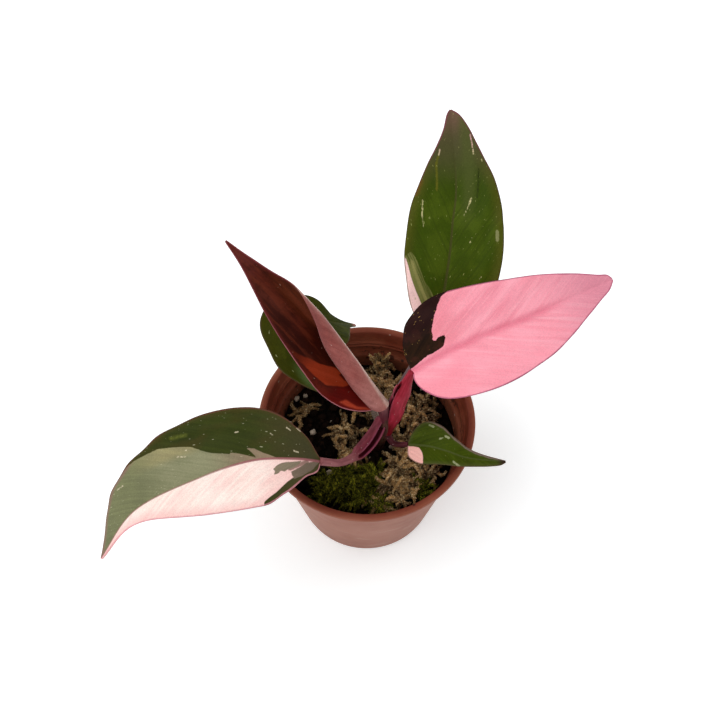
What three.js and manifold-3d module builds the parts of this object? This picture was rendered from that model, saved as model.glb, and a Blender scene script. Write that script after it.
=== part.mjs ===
// Pink princess philodendron, a young plant of six leaves in a 7 cm nursery pot.
// Millimetres, +Z up, origin at the centre of the pot's base. +X is to the right of the
// plant's front, and the front faces -Y.
import * as THREE from 'three';
import { mergeVertices } from 'three/addons/utils/BufferGeometryUtils.js';
import Module from 'manifold-3d';

const wasm = await Module();
wasm.setup();

// ---------------------------------------------------------------- driving dimensions

const GAP = 0.3; // clearance between pieces that touch
const BLADE = 0.7; // thickness of a leaf blade

const POT = {
  height: 52.6,
  rimRadius: 35,
  baseRadius: 23,
  lipOverhang: 1.5,
  lipHeight: 1.6,
  lipWidth: 2.1,
  rounding: 0.4, // at the lip's edges
  bandWall: 0.8, // wall beside the wide band under the lip
  bandHeight: 10.5,
  stepSlope: 0.5, // height of the inner step under the band
  lowerWall: 1.2, // wall under the inner step
  floor: 1.4,
  chamfer: 0.6,
  holes: 6,
  holeRadius: 2.6,
  holeCircle: 16,
  segments: 40,
};

const MIX = {
  level: 37.5, // mean height of the potting mix
  rings: 7,
  sectors: 28,
  // heaps on the mix: centre x, y, radius, height
  heaps: [
    [-4, -19, 9, 3.6],
    [13, -13, 8, 3.2],
    [-19, 0, 8, 3.0],
    [2, 15, 9, 3.8],
    [17, 6, 7, 2.4],
    [-9, -9, 6, 1.8],
  ],
};

const STEM = {
  path: [[3, -1.4, 23], [3.2, -2, 39], [4.5, -4.8, 52], [5.8, -7.4, 61], [5.4, -8, 71]],
  radius: [2.6, 2.5, 2.3, 2.1, 1.6],
  up: [-1, 0, 0],
};

const ROOTS = {
  count: 7,
  crown: [[3, -1.4, 17], [3, -1.4, 22.7]],
  crownRadius: 2.2,
  reach: 17,
  drop: 6,
  radius: [1.2, 0.9, 0.6],
};

// A leaf's midrib runs from its base to its tip. face holds the directions that the upper
// side looks to, from base to tip. Its outline is flat: [distance along the midrib,
// distance out from it], for the halves left and right of the midrib as seen from above.
// lift (degrees) is the slope at which a half leaves the midrib, and curl (degrees per mm)
// how much it bends on from there, both listed from base to tip. wave is the height and
// the length of the waves along the margin.
const LEAVES = {
  half_pink: {
    midrib: [[-14.2, -25.7, 75.7], [-21.8, -27.5, 81.3], [-34.2, -28.6, 82.3],
      [-49.6, -32.4, 78.7], [-69.8, -38.6, 68.7], [-82.1, -47.1, 50.9]],
    face: [[0, -0.25, 1], [-0.15, -0.3, 1], [-0.5, -0.35, 1], [-0.9, -0.4, 0.9]],
    left: [[0, 1], [1.5, 3.4], [6.5, 5.6], [12, 10.5], [17.5, 14], [25, 14.6], [35, 13.2],
      [47, 9.8], [60, 5.3], [71, 2.4], [85, 0.3]],
    right: [[0, 1], [5, 6], [12, 11.7], [20, 15.4], [30, 17.1], [38, 17.4], [47, 16.2],
      [56, 13.4], [65, 9.6], [75, 4.6], [85, 0.3]],
    lift: { left: [12], right: [12] },
    curl: { left: [-0.3], right: [-0.3] },
    wave: [0.5, 24],
    color: '#8c7f74',
  },
  rolled: {
    midrib: [[5.1, -7.9, 78.8], [-5.4, -0.9, 90.6], [-16.1, 7.4, 100.9],
      [-30.3, 17.6, 112.4], [-41.5, 24.9, 119]],
    face: [[0.22, -0.66, 0.72], [0.22, -0.66, 0.72]],
    left: [[0, 0.9], [2.6, 5.4], [9, 10.2], [17, 12.7], [26, 12.4], [36, 11.1],
      [46, 8.8], [55, 5.7], [63, 2.6], [70, 0.3]],
    right: [[0, 0.9], [1, 6.8], [6.5, 11.4], [16, 11.8], [30, 11.8], [42, 8.3],
      [53, 2.6], [62, 0.9], [70, 0.3]],
    lift: { left: [15], right: [40, 14, 4, 4, 4] },
    curl: { left: [0.6], right: [25.5, 19, 15.5, 15, 8] },
    wave: [0.2, 22],
    columns: { left: 5, right: 10 },
    color: '#4a1f22',
  },
  low_green: {
    midrib: [[-12.4, 3.2, 65], [-18.6, 7.6, 70.2], [-22.6, 14, 74.2], [-22.2, 20.2, 76.3],
      [-17.2, 24.4, 76], [-10.6, 25, 72.2], [-3.9, 27.7, 66.2]],
    face: [[-0.2, -0.2, 1], [-0.1, -0.1, 1], [0.1, 0.05, 1], [0.3, 0.3, 1]],
    left: [[0, 0.9], [4, 2.4], [9, 4.4], [14, 6.8], [19, 8.2], [24, 12], [28, 12.4],
      [32, 8.4], [36, 5.2], [40, 3.2], [44, 1.3], [49, 0.3]],
    right: [[0, 0.9], [2, 5], [8, 9.4], [16, 11.8], [26, 12.2], [35, 11.6], [40, 9],
      [43, 4.8], [45.6, 1.4], [49, 0.3]],
    lift: { left: [5], right: [5] },
    curl: { left: [-0.5], right: [-0.5] },
    wave: [0.4, 19],
    color: '#3a5a26',
  },
  back_green: {
    midrib: [[21.5, 11.3, 90.7], [24.4, 25.8, 107.1], [25.3, 33.7, 115.5],
      [26.3, 43.6, 121.3], [24.8, 64.5, 129.8]],
    face: [[0, -0.6, 1], [0, -0.5, 1], [0, -0.3, 1]],
    left: [[0, 1], [1, 5], [5, 8.6], [14, 11.9], [24, 13.8], [35, 13.4], [44, 11.6],
      [51, 8.7], [57, 5.2], [62, 2.7], [66.6, 1.2], [68, 0.3]],
    right: [[0, 1], [1, 6], [5, 10.6], [12, 14.2], [22, 15.7], [34, 15.3], [43, 12.7],
      [50, 9.8], [57, 6.9], [62, 5], [66.4, 2.4], [68, 0.3]],
    lift: { left: [12], right: [12] },
    curl: { left: [-0.3], right: [-0.3] },
    wave: [0.4, 23],
    color: '#3b5a28',
  },
  pink: {
    midrib: [[13.3, -3.1, 90.8], [29, 2.2, 98.6], [46, 8.2, 102.3], [62.2, 16, 103.1],
      [73.7, 22, 102.5]],
    face: [[0, -0.35, 1], [0, -0.35, 1], [0.2, -0.3, 1]],
    left: [[0, 1], [0.2, 4.4], [1.8, 9], [6.4, 14], [15, 16.5], [24, 15.5],
      [35, 13.4], [46, 10.5], [57, 6.2], [64, 3], [66.8, 1.9], [67.8, 0.5]],
    right: [[0, 1], [-0.4, 3.4], [1.4, 7.9], [7, 13.1], [19, 16.6], [30, 16.1], [42, 13.1],
      [53, 8.4], [61, 4.6], [65.4, 2.6], [67.8, 0.5]],
    lift: { left: [12], right: [12] },
    curl: { left: [-0.3], right: [-0.3] },
    wave: [0.4, 25],
    color: '#e58b9f',
  },
  small: {
    midrib: [[12.8, -12.9, 61.1], [19.1, -14, 62.2], [24.9, -16, 62.8], [31.6, -17.7, 61.4],
      [43.4, -17.6, 58.5]],
    face: [[0, -0.3, 1], [0, -0.3, 1], [0.2, -0.3, 1]],
    left: [[0, 0.8], [1.2, 3.9], [5, 7.6], [9, 7.2], [13.5, 4.8], [19, 3], [25, 1.5],
      [32, 0.3]],
    right: [[0, 0.8], [0.6, 3.8], [3, 5.6], [7, 6.2], [13, 4.7], [20, 2.9], [27, 2],
      [30.4, 1.3], [32, 0.3]],
    lift: { left: [14], right: [14] },
    curl: { left: [-0.3], right: [-0.3] },
    wave: [0.2, 14],
    color: '#3f6128',
  },
};

// A petiole's path runs from the stem to the leaf's base. channel is 0 where its section
// is round and 1 where it is the open trough of a sheath. up is where the trough opens to.
const PETIOLES = {
  half_pink: {
    path: [[4.8, -7.2, 71], [4.2, -8, 67], [3, -10, 65], [0.8, -13.4, 64.5],
      [-1.7, -17, 65.5], [-4.2, -20.4, 67.6], [-8.5, -24, 71.2], [-14.2, -25.7, 75.7]],
    radius: [1.7, 1.9, 2.2, 2.4, 2.5, 2.4, 2.2, 1.4, 1.25, 1.15, 1.15, 1.2, 1.2],
    channel: [0.6, 0.8, 0.9, 1, 1, 1, 0.9, 0, 0, 0, 0, 0, 0],
    up: [0.48, -0.75, 0.7],
    color: '#5c2440',
  },
  rolled: {
    path: [[5.4, -8, 69], [5.3, -8, 74], [5.1, -7.9, 78.8]],
    radius: [1.6, 1.6, 1.5],
    channel: [0, 0, 0],
    up: [0.22, -0.66, 0.72],
    color: '#5b2a3c',
  },
  low_green: {
    path: [[5.2, -6.4, 58], [2.6, -2.4, 64], [-4, 1, 66.4], [-12.4, 3.2, 65]],
    radius: [1.5, 1.4, 1.2, 1.1],
    channel: [0, 0, 0, 0],
    up: [0, 0, 1],
    color: '#4f3038',
  },
  back_green: {
    path: [[5.6, -8, 66], [8.6, -4.6, 75], [14.6, 3, 83.5], [21.5, 11.3, 90.7]],
    radius: [1.9, 1.8, 1.5, 1.4],
    channel: [0, 0.6, 0, 0],
    up: [0, -0.6, 1],
    color: '#6b5560',
  },
  pink: {
    path: [[6.4, -8.4, 59], [7.6, -8.2, 66], [8.6, -7.9, 72], [9.4, -7.2, 79],
      [11.2, -5.7, 85], [13.3, -3.1, 90.8]],
    radius: [1.2, 1.3, 1.8, 2.3, 2.6, 2.6, 2.6, 1.6, 1],
    channel: [0, 0.4, 0.8, 0.9, 1, 1, 0.8, 0, 0],
    up: [-0.97, -0.13, 0.2],
    color: '#9b2745',
  },
  small: {
    path: [[6.4, -8.6, 59.5], [8.5, -11.4, 58.8], [12.8, -12.9, 61.1]],
    radius: [1.2, 0.9, 0.8],
    channel: [0, 0, 0],
    up: [0, 0, 1],
    color: '#4e1e2b',
  },
};

const SPENT_SHEATH = {
  midrib: [[2.6, -6.2, 62], [2, -6.9, 68], [1.6, -7.6, 74], [0.8, -7.9, 79]],
  face: [[-0.7, -0.4, 0.3], [-0.4, -0.8, 0.4]],
  left: [[0, 1.4], [6, 2.4], [12, 1.8], [17.2, 0.4]],
  right: [[0, 1.4], [6, 2.4], [12, 1.8], [17.2, 0.4]],
  lift: { left: [0], right: [0] },
  curl: { left: [-18], right: [-18] },
  wave: [0, 10],
  columns: { left: 3, right: 3 },
  rows: 6,
};

// Loose moss on the mix: centre x, y, how far the clump reaches, strands in it, the height
// that they arch to, and the first number of the clump's random draw.
const MOSS = {
  sphagnum_back: { at: [3, 15], reach: 12, strands: 7, arch: 3, seed: 11 },
  sphagnum_left: { at: [-17, -1], reach: 10.5, strands: 6, arch: 2.6, seed: 23 },
  sphagnum_right: { at: [15, -9], reach: 11, strands: 6, arch: 2.6, seed: 37 },
  green_moss: { at: [-4, -17.5], reach: 11, strands: 8, arch: 3.4, seed: 41 },
};
const STRAND = { radius: [0.6, 0.95, 0.5], sides: 4, steps: 3 };
const MOSS_CORE = { share: 0.42, height: 1.6, sides: 7 }; // matted middle of a clump

const COLORS = {
  pot: '#a4614f',
  mix: '#1d1712',
  roots: '#c9bca0',
  stem: '#6a3145',
  sheath: '#8d8378',
  sphagnum: '#a08d66',
  greenMoss: '#5d6a26',
};

// ---------------------------------------------------------------- small helpers

const vec = (p) => new THREE.Vector3(...p);
const degrees = THREE.MathUtils.degToRad;

/** The value at share 0..1 of a list of numbers or of [x, y, z] lists. */
function along(list, share) {
  const place = THREE.MathUtils.clamp(share, 0, 1) * (list.length - 1);
  const first = Math.min(Math.floor(place), Math.max(list.length - 2, 0));
  const second = Math.min(first + 1, list.length - 1);
  const part = place - first;
  const mix = (a, b) => a + (b - a) * part;
  if (typeof list[0] === 'number') return mix(list[first], list[second]);
  return list[first].map((value, axis) => mix(value, list[second][axis]));
}

/** Random numbers 0..1 that are the same in every run. */
function randomFrom(seed) {
  let state = seed >>> 0;
  return () => {
    state = (state * 1664525 + 1013904223) >>> 0;
    return state / 2 ** 32;
  };
}

/** A smooth open curve through the points. */
function smoothCurve(points) {
  const curve = new THREE.CatmullRomCurve3(points.map(vec), false, 'catmullrom', 0.5);
  curve.arcLengthDivisions = 400;
  return curve;
}

/** A closed geometry from points and triangles, with its faces pointing out. */
function closedGeometry(points, triangles) {
  const volume = triangles.reduce((sum, [a, b, c]) => {
    const normal = points[b].clone().cross(points[c]);
    return sum + points[a].dot(normal);
  }, 0);
  const faces = volume > 0 ? triangles : triangles.map(([a, b, c]) => [a, c, b]);
  const geometry = new THREE.BufferGeometry();
  geometry.setAttribute('position', new THREE.Float32BufferAttribute(
    points.flatMap((p) => p.toArray()), 3));
  geometry.setIndex(faces.flat());
  return geometry;
}

function toSolid(geometry) {
  const bare = geometry.clone();
  bare.deleteAttribute('normal');
  bare.deleteAttribute('uv');
  const merged = mergeVertices(bare, 1e-4);
  return new wasm.Manifold(new wasm.Mesh({
    numProp: 3,
    vertProperties: new Float32Array(merged.attributes.position.array),
    triVerts: new Uint32Array(merged.index.array),
  }));
}

/** The geometry of a solid's largest piece. */
function toGeometry(solid) {
  const pieces = solid.decompose();
  const largest = pieces.reduce((a, b) => (b.volume() > a.volume() ? b : a));
  const mesh = largest.getMesh();
  const geometry = new THREE.BufferGeometry();
  geometry.setAttribute('position', new THREE.BufferAttribute(mesh.vertProperties, 3));
  geometry.setIndex(new THREE.BufferAttribute(mesh.triVerts, 1));
  return geometry;
}

function cutAway(geometry, cutters) {
  return toGeometry(cutters.reduce((solid, cutter) => solid.subtract(toSolid(cutter)),
    toSolid(geometry)));
}

function fuse(geometries) {
  return geometries.map(toSolid).reduce((sum, solid) => sum.add(solid));
}

// ---------------------------------------------------------------- shapes of the plant

/** A leaf's upper surface: place(x, y) bends a flat point of the leaf into space. */
class LeafSurface {
  constructor(leaf) {
    this.leaf = leaf;
    this.curve = smoothCurve(leaf.midrib);
    this.length = this.curve.getLength();
  }

  midribAt(x) {
    const share = THREE.MathUtils.clamp(x / this.length, 0, 1);
    const tangent = this.curve.getTangentAt(share);
    const point = this.curve.getPointAt(share);
    return { share, tangent, point: point.addScaledVector(tangent, x - share * this.length) };
  }

  /** x along the midrib, y out from it, positive on the left half. */
  place(x, y) {
    const { face, lift, curl, wave } = this.leaf;
    const { share, tangent, point } = this.midribAt(x);
    const up = vec(along(face, share));
    up.addScaledVector(tangent, -up.dot(tangent)).normalize();
    const side = up.clone().cross(tangent);
    const half = y < 0 ? 'right' : 'left';
    const out = Math.abs(y);
    const start = degrees(along(lift[half], share));
    const bend = degrees(along(curl[half], share)) || 1e-5;
    const across = (Math.sin(start + bend * out) - Math.sin(start)) / bend;
    const rise = (Math.cos(start) - Math.cos(start + bend * out)) / bend;
    const ripple = wave[0] * (out / 15) ** 2 * Math.sin((2 * Math.PI * x) / wave[1] + y);
    return point.addScaledVector(side, Math.sign(y) * across)
      .addScaledVector(up, rise + ripple);
  }

  normal(x, y) {
    const step = 0.4;
    const alongX = this.place(x + step, y).sub(this.place(x - step, y));
    const alongY = this.place(x, y + step).sub(this.place(x, y - step));
    return alongX.cross(alongY).normalize();
  }
}

/** The flat point of the leaf's outline at share 0..1 of its way from base to tip. */
function outlineAt(points, share) {
  const curve = new THREE.CatmullRomCurve3(
    points.map(([x, y]) => new THREE.Vector3(x, y, 0)), false, 'centripetal');
  return curve.getPointAt(share);
}

/** A leaf blade with its raised midrib below, thickened all round by grow. */
function bladeGeometry(leaf, grow = 0) {
  const surface = new LeafSurface(leaf);
  const rows = leaf.rows ?? 15;
  const columns = leaf.columns ?? { left: 5, right: 5 };
  const rib = leaf.ribDepth ?? 0.9;
  const sweep = 1.45; // side veins reach the margin further on than they leave the midrib
  const upper = [];
  const lower = [];
  for (let i = 0; i <= rows; i += 1) {
    const share = i / rows;
    const ribX = surface.length * share ** sweep;
    for (let j = -columns.right; j <= columns.left; j += 1) {
      const half = j < 0 ? 'right' : 'left';
      const edge = outlineAt(leaf[half], share);
      const part = (Math.abs(j) / columns[half]) ** 1.15;
      const x = ribX + (edge.x - ribX) * part;
      const y = Math.sign(j) * (edge.y + grow) * part;
      const normal = surface.normal(x, y);
      const depth = BLADE + rib * (1 - 0.8 * share) * Math.exp(-((y / 1.3) ** 2));
      const point = surface.place(x, y);
      upper.push(point.clone().addScaledVector(normal, grow));
      lower.push(point.clone().addScaledVector(normal, -depth - grow));
    }
  }
  const width = columns.left + columns.right + 1;
  const total = upper.length;
  const triangles = [];
  for (let i = 0; i < rows; i += 1) {
    for (let j = 0; j < width - 1; j += 1) {
      const [a, b, c, d] = [i * width + j, i * width + j + 1, (i + 1) * width + j + 1,
        (i + 1) * width + j];
      triangles.push([a, c, b], [a, d, c]);
      triangles.push([a + total, b + total, c + total], [a + total, c + total, d + total]);
    }
    const [first, next] = [i * width, (i + 1) * width];
    const [last, lastNext] = [first + width - 1, next + width - 1];
    triangles.push([first, first + total, next + total], [first, next + total, next]);
    triangles.push([last, lastNext + total, last + total], [last, lastNext, lastNext + total]);
  }
  for (let j = 0; j < width - 1; j += 1) {
    const end = rows * width + j;
    triangles.push([j, j + 1, j + 1 + total], [j, j + 1 + total, j + total]);
    triangles.push([end, end + 1 + total, end + 1], [end, end + total, end + 1 + total]);
  }
  return closedGeometry([...upper, ...lower], triangles);
}

/** One point of a stalk's section: round where channel is 0, a trough where it is 1. */
function sectionPoint(index, sides, radius, channel) {
  const outerCount = Math.ceil(sides * 0.6);
  const opening = degrees(156); // the wings reach this far round on each side
  const wall = Math.min(0.75, radius * 0.6);
  if (index <= outerCount) {
    const angle = opening * ((2 * index) / outerCount - 1);
    return [radius * Math.sin(angle), -radius * Math.cos(angle)];
  }
  const share = (index - outerCount) / (sides - outerCount);
  const round = opening + 2 * (Math.PI - opening) * share;
  const inner = opening * (1 - 2 * share);
  const open = [(radius - wall) * Math.sin(inner), -(radius - wall) * Math.cos(inner)];
  const closed = [radius * Math.sin(round), -radius * Math.cos(round)];
  return open.map((value, axis) => closed[axis] + (value - closed[axis]) * channel);
}

/** A tapering stalk, root or strand along a smooth path. */
function stalkGeometry({ path, radius, channel = [0], up, sides = 10, steps = 12 }, grow = 0) {
  const curve = smoothCurve(path);
  const points = [];
  for (let i = 0; i <= steps; i += 1) {
    const share = i / steps;
    const tangent = curve.getTangentAt(share);
    const centre = curve.getPointAt(share);
    if (i === 0) centre.addScaledVector(tangent, -grow);
    if (i === steps) centre.addScaledVector(tangent, grow);
    const rise = vec(up).addScaledVector(tangent, -vec(up).dot(tangent)).normalize();
    const side = rise.clone().cross(tangent);
    const size = along(radius, share) + grow;
    for (let k = 0; k < sides; k += 1) {
      const [across, height] = sectionPoint(k, sides, size, grow ? 0 : along(channel, share));
      points.push(centre.clone().addScaledVector(side, across).addScaledVector(rise, height));
    }
  }
  const triangles = [];
  for (let i = 0; i < steps; i += 1) {
    for (let k = 0; k < sides; k += 1) {
      const next = (k + 1) % sides;
      const [a, b] = [i * sides + k, i * sides + next];
      triangles.push([a, b, b + sides], [a, b + sides, a + sides]);
    }
  }
  const end = steps * sides;
  for (let k = 1; k < sides - 1; k += 1) {
    triangles.push([0, k + 1, k], [end, end + k, end + k + 1]);
  }
  return closedGeometry(points, triangles);
}

// ---------------------------------------------------------------- pot, mix, roots, moss

const outerRadius = (z) => POT.baseRadius
  + (POT.rimRadius - POT.lipOverhang - POT.baseRadius) * (z / POT.height);
const lowerInnerRadius = (z) => outerRadius(z) - POT.lowerWall;

function potGeometry() {
  const { height, rimRadius, lipHeight, rounding, chamfer, floor, bandWall } = POT;
  const step = height - POT.bandHeight;
  const underStep = step - POT.stepSlope;
  const profile = [
    [0, 0],
    [POT.baseRadius - chamfer, 0],
    [outerRadius(chamfer), chamfer],
    [outerRadius(height - lipHeight), height - lipHeight],
    [rimRadius, height - lipHeight + rounding],
    [rimRadius, height - rounding],
    [rimRadius - rounding, height],
    [rimRadius - POT.lipWidth, height],
    [outerRadius(height) - bandWall, height - rounding],
    [outerRadius(step) - bandWall, step],
    [lowerInnerRadius(underStep), underStep],
    [lowerInnerRadius(floor), floor],
    [0, floor],
  ];
  const lathe = new THREE.LatheGeometry(
    profile.map(([r, z]) => new THREE.Vector2(r, z)), POT.segments);
  lathe.rotateX(Math.PI / 2);
  const holes = [];
  for (let k = 0; k < POT.holes; k += 1) {
    const angle = (2 * Math.PI * k) / POT.holes;
    const hole = new THREE.CylinderGeometry(POT.holeRadius, POT.holeRadius, 4 * floor, 12);
    hole.rotateX(Math.PI / 2);
    hole.translate(POT.holeCircle * Math.cos(angle), POT.holeCircle * Math.sin(angle), 0);
    holes.push(hole);
  }
  return cutAway(outward(lathe), holes);
}

/** The same geometry with its faces turned out, whatever way they were wound. */
function outward(geometry) {
  const bare = geometry.clone();
  bare.deleteAttribute('normal');
  bare.deleteAttribute('uv');
  const merged = mergeVertices(bare, 1e-4);
  const { array } = merged.attributes.position;
  const points = [];
  for (let i = 0; i < array.length; i += 3) {
    points.push(new THREE.Vector3(array[i], array[i + 1], array[i + 2]));
  }
  const index = [...merged.index.array];
  const triangles = [];
  for (let i = 0; i < index.length; i += 3) {
    const triangle = index.slice(i, i + 3);
    if (new Set(triangle).size === 3) triangles.push(triangle);
  }
  return closedGeometry(points, triangles);
}

/** Height of the potting mix over a point of the pot. */
function mixTop(x, y) {
  const lumps = 0.45 * Math.sin(0.9 * x + 1) * Math.sin(0.8 * y)
    + 0.3 * Math.sin(1.7 * x - 0.6 * y);
  const heaps = MIX.heaps.reduce((sum, [hx, hy, radius, height]) => (
    sum + height * Math.exp(-((x - hx) ** 2 + (y - hy) ** 2) / radius ** 2)), 0);
  return MIX.level + lumps + heaps;
}

/** The potting mix, from the pot's floor up to its heaped top, raised by grow. */
function mixBodyGeometry(grow = 0) {
  const { rings, sectors } = MIX;
  const bottom = POT.floor + GAP;
  const bottomRadius = lowerInnerRadius(bottom) - GAP;
  const topRadius = lowerInnerRadius(MIX.level) - GAP;
  const points = [new THREE.Vector3(0, 0, mixTop(0, 0) + grow)];
  const ringStart = (ring) => 1 + (ring - 1) * sectors;
  for (let ring = 1; ring <= rings; ring += 1) {
    const radius = (topRadius * ring) / rings;
    for (let k = 0; k < sectors; k += 1) {
      const angle = (2 * Math.PI * k) / sectors;
      const [x, y] = [radius * Math.cos(angle), radius * Math.sin(angle)];
      const height = ring === rings ? MIX.level - 0.5 : mixTop(x, y);
      points.push(new THREE.Vector3(x, y, height + grow));
    }
  }
  for (let k = 0; k < sectors; k += 1) {
    const angle = (2 * Math.PI * k) / sectors;
    points.push(new THREE.Vector3(
      bottomRadius * Math.cos(angle), bottomRadius * Math.sin(angle), bottom));
  }
  points.push(new THREE.Vector3(0, 0, bottom));
  const triangles = [];
  const last = points.length - 1;
  for (let k = 0; k < sectors; k += 1) {
    const next = (k + 1) % sectors;
    triangles.push([0, 1 + k, 1 + next]);
    for (let ring = 1; ring <= rings; ring += 1) {
      const [a, b] = [ringStart(ring) + k, ringStart(ring) + next];
      triangles.push([a, a + sectors, b + sectors], [a, b + sectors, b]);
    }
    triangles.push([last, last - sectors + next, last - sectors + k]);
  }
  return closedGeometry(points, triangles);
}

/** Roots that spread out and down from a crown under the foot of the stem. */
function rootsSolid(grow = 0) {
  const random = randomFrom(5);
  const { count, crown, crownRadius, reach, drop, radius } = ROOTS;
  const [cx, cy, cz] = crown[0];
  const parts = [stalkGeometry(
    { path: crown, radius: [crownRadius], up: [1, 0, 0], sides: 8, steps: 2 }, grow)];
  for (let k = 0; k < count; k += 1) {
    const angle = (2 * Math.PI * (k + 0.5 * random())) / count;
    const length = reach * (0.75 + 0.25 * random());
    const turn = angle + 0.5 * (random() - 0.5);
    const path = [
      [cx, cy, cz + 2.5],
      [cx + 0.45 * length * Math.cos(angle), cy + 0.45 * length * Math.sin(angle), cz + 0.5],
      [0.5 * cx + length * Math.cos(turn), 0.5 * cy + length * Math.sin(turn), cz - drop],
    ];
    parts.push(stalkGeometry({ path, radius, up: [0.1, 0.2, 1], sides: 5, steps: 4 }, grow));
  }
  return fuse(parts);
}

/** A clump of moss: loose strands lying any way round, over a low matted middle. */
function mossGeometry({ at, reach, strands, arch, seed }) {
  const random = randomFrom(seed);
  const [cx, cy] = at;
  const core = new THREE.SphereGeometry(1, MOSS_CORE.sides, 4);
  core.rotateX(Math.PI / 2);
  core.scale(MOSS_CORE.share * reach, MOSS_CORE.share * reach, MOSS_CORE.height);
  core.translate(cx, cy, mixTop(cx, cy) + GAP);
  const parts = [outward(core)];
  for (let k = 0; k < strands; k += 1) {
    const angle = (2 * Math.PI * (k + random())) / strands;
    const turn = angle + 1.2 + 1.2 * random();
    const start = MOSS_CORE.share * reach * (0.3 + 0.4 * random());
    const [sx, sy] = [cx + start * Math.cos(angle), cy + start * Math.sin(angle)];
    const length = reach * (0.8 + 0.5 * random());
    const height = arch * (0.5 + 0.5 * random());
    const path = [-0.5, -0.1, 0.25, 0.5].map((share, point) => {
      const sway = (point % 2 ? 1 : -1) * 0.12 * length;
      const x = sx + share * length * Math.cos(turn) - sway * Math.sin(turn);
      const y = sy + share * length * Math.sin(turn) + sway * Math.cos(turn);
      return [x, y, mixTop(x, y) + GAP + 0.3 + height * (1 - 3.4 * share * share)];
    });
    parts.push(stalkGeometry({
      path,
      up: [0.05, 0.1, 1],
      ...STRAND,
    }));
  }
  return toGeometry(fuse(parts).subtract(toSolid(mixBodyGeometry(GAP))));
}

// ---------------------------------------------------------------- assembly

const plant = new THREE.Group();

function addPiece(name, geometry, color, roughness = 0.6) {
  const material = new THREE.MeshStandardMaterial({ color, roughness, metalness: 0 });
  material.name = name;
  const mesh = new THREE.Mesh(geometry, material);
  mesh.name = name;
  plant.add(mesh);
}

addPiece('pot', potGeometry(), COLORS.pot, 0.55);

const stemClearance = stalkGeometry(STEM, GAP);
addPiece('stem', stalkGeometry(STEM), COLORS.stem, 0.5);

const roots = rootsSolid();
addPiece('roots', toGeometry(roots), COLORS.roots, 0.8);
addPiece('potting_mix', toGeometry(toSolid(mixBodyGeometry())
  .subtract(rootsSolid(GAP)).subtract(toSolid(stemClearance))), COLORS.mix, 0.95);

for (const [name, clump] of Object.entries(MOSS)) {
  const color = name === 'green_moss' ? COLORS.greenMoss : COLORS.sphagnum;
  addPiece(name, cutAway(mossGeometry(clump), [stemClearance]), color, 0.95);
}

const clearances = [stemClearance];
for (const [name, petiole] of Object.entries(PETIOLES)) {
  const ownBlade = bladeGeometry(LEAVES[name], GAP);
  addPiece(`petiole_${name}`, cutAway(stalkGeometry(petiole), [...clearances, ownBlade]),
    petiole.color, 0.4);
  clearances.push(stalkGeometry(petiole, GAP));
}

addPiece('spent_sheath', cutAway(bladeGeometry({ ...SPENT_SHEATH, ribDepth: 0 }), clearances),
  COLORS.sheath, 0.7);

for (const [name, leaf] of Object.entries(LEAVES)) {
  addPiece(`blade_${name}`, bladeGeometry(leaf), leaf.color, 0.35);
}

export default plant;
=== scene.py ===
"""Pink princess philodendron in its nursery pot: the finish of every surface.

The plant's places and sizes are in millimetres, as in the part's own source, and every
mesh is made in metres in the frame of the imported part. Each fine piece repeats the form of
the plain solid that it stands for, and adds its edges, veins, markings and texture.
"""
import math
import random

import bmesh
import bpy
import numpy as np
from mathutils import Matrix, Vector, noise


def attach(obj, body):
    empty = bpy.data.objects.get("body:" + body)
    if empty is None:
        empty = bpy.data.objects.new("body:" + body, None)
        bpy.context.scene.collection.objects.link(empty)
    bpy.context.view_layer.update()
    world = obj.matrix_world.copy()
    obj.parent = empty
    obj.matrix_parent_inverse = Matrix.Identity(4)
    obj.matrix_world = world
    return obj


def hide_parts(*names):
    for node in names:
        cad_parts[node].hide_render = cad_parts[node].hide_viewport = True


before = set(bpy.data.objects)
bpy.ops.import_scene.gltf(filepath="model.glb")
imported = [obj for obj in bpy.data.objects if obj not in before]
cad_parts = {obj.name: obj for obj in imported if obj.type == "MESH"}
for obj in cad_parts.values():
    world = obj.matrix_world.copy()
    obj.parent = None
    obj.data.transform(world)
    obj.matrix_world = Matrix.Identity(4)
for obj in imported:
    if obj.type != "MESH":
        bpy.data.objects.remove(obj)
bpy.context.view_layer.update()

MM = 0.001

# ---------------------------------------------------------------- the plant's dimensions

POT = {
    "height": 52.6, "rim_radius": 35.0, "base_radius": 23.0, "lip_overhang": 1.5, "lip_height": 1.6,
    "lip_width": 2.1, "rounding": 0.4, "band_wall": 0.8, "band_height": 10.5, "step_slope": 0.5,
    "lower_wall": 1.2, "floor": 1.4, "chamfer": 0.6, "holes": 6, "hole_radius": 2.6,
    "hole_circle": 16.0, "ridge_height": 46.2, "recess": 0.5,
}
# two shallow ridges inside the wall: height over ridge_height, and depth
POT_RIDGES = [(1.9, 0), (1.6, 0.3), (1.2, 0.3), (1, 0), (0.6, 0), (0.4, 0.3), (0, 0.3), (-0.3, 0)]

MIX_LEVEL = 37.5
MIX_GAP = 0.3
# heaps on the mix: centre x, y, radius, height
MIX_HEAPS = [(-4, -19, 9, 3.6), (13, -13, 8, 3.2), (-19, 0, 8, 3.0), (2, 15, 9, 3.8),
             (17, 6, 7, 2.4), (-9, -9, 6, 1.8)]

STEM = {
    "path": [(3, -1.4, 23), (3.2, -2, 39), (4.5, -4.8, 52), (5.8, -7.4, 61), (5.4, -8, 71)],
    "radius": [2.6, 2.5, 2.3, 2.1, 1.6], "up": (-1, 0, 0),
}
# heights of the rings where a leaf has stood or stands
STEM_NODES = [42.5, 48.5, 54.5, 60.5, 66.5]

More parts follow.
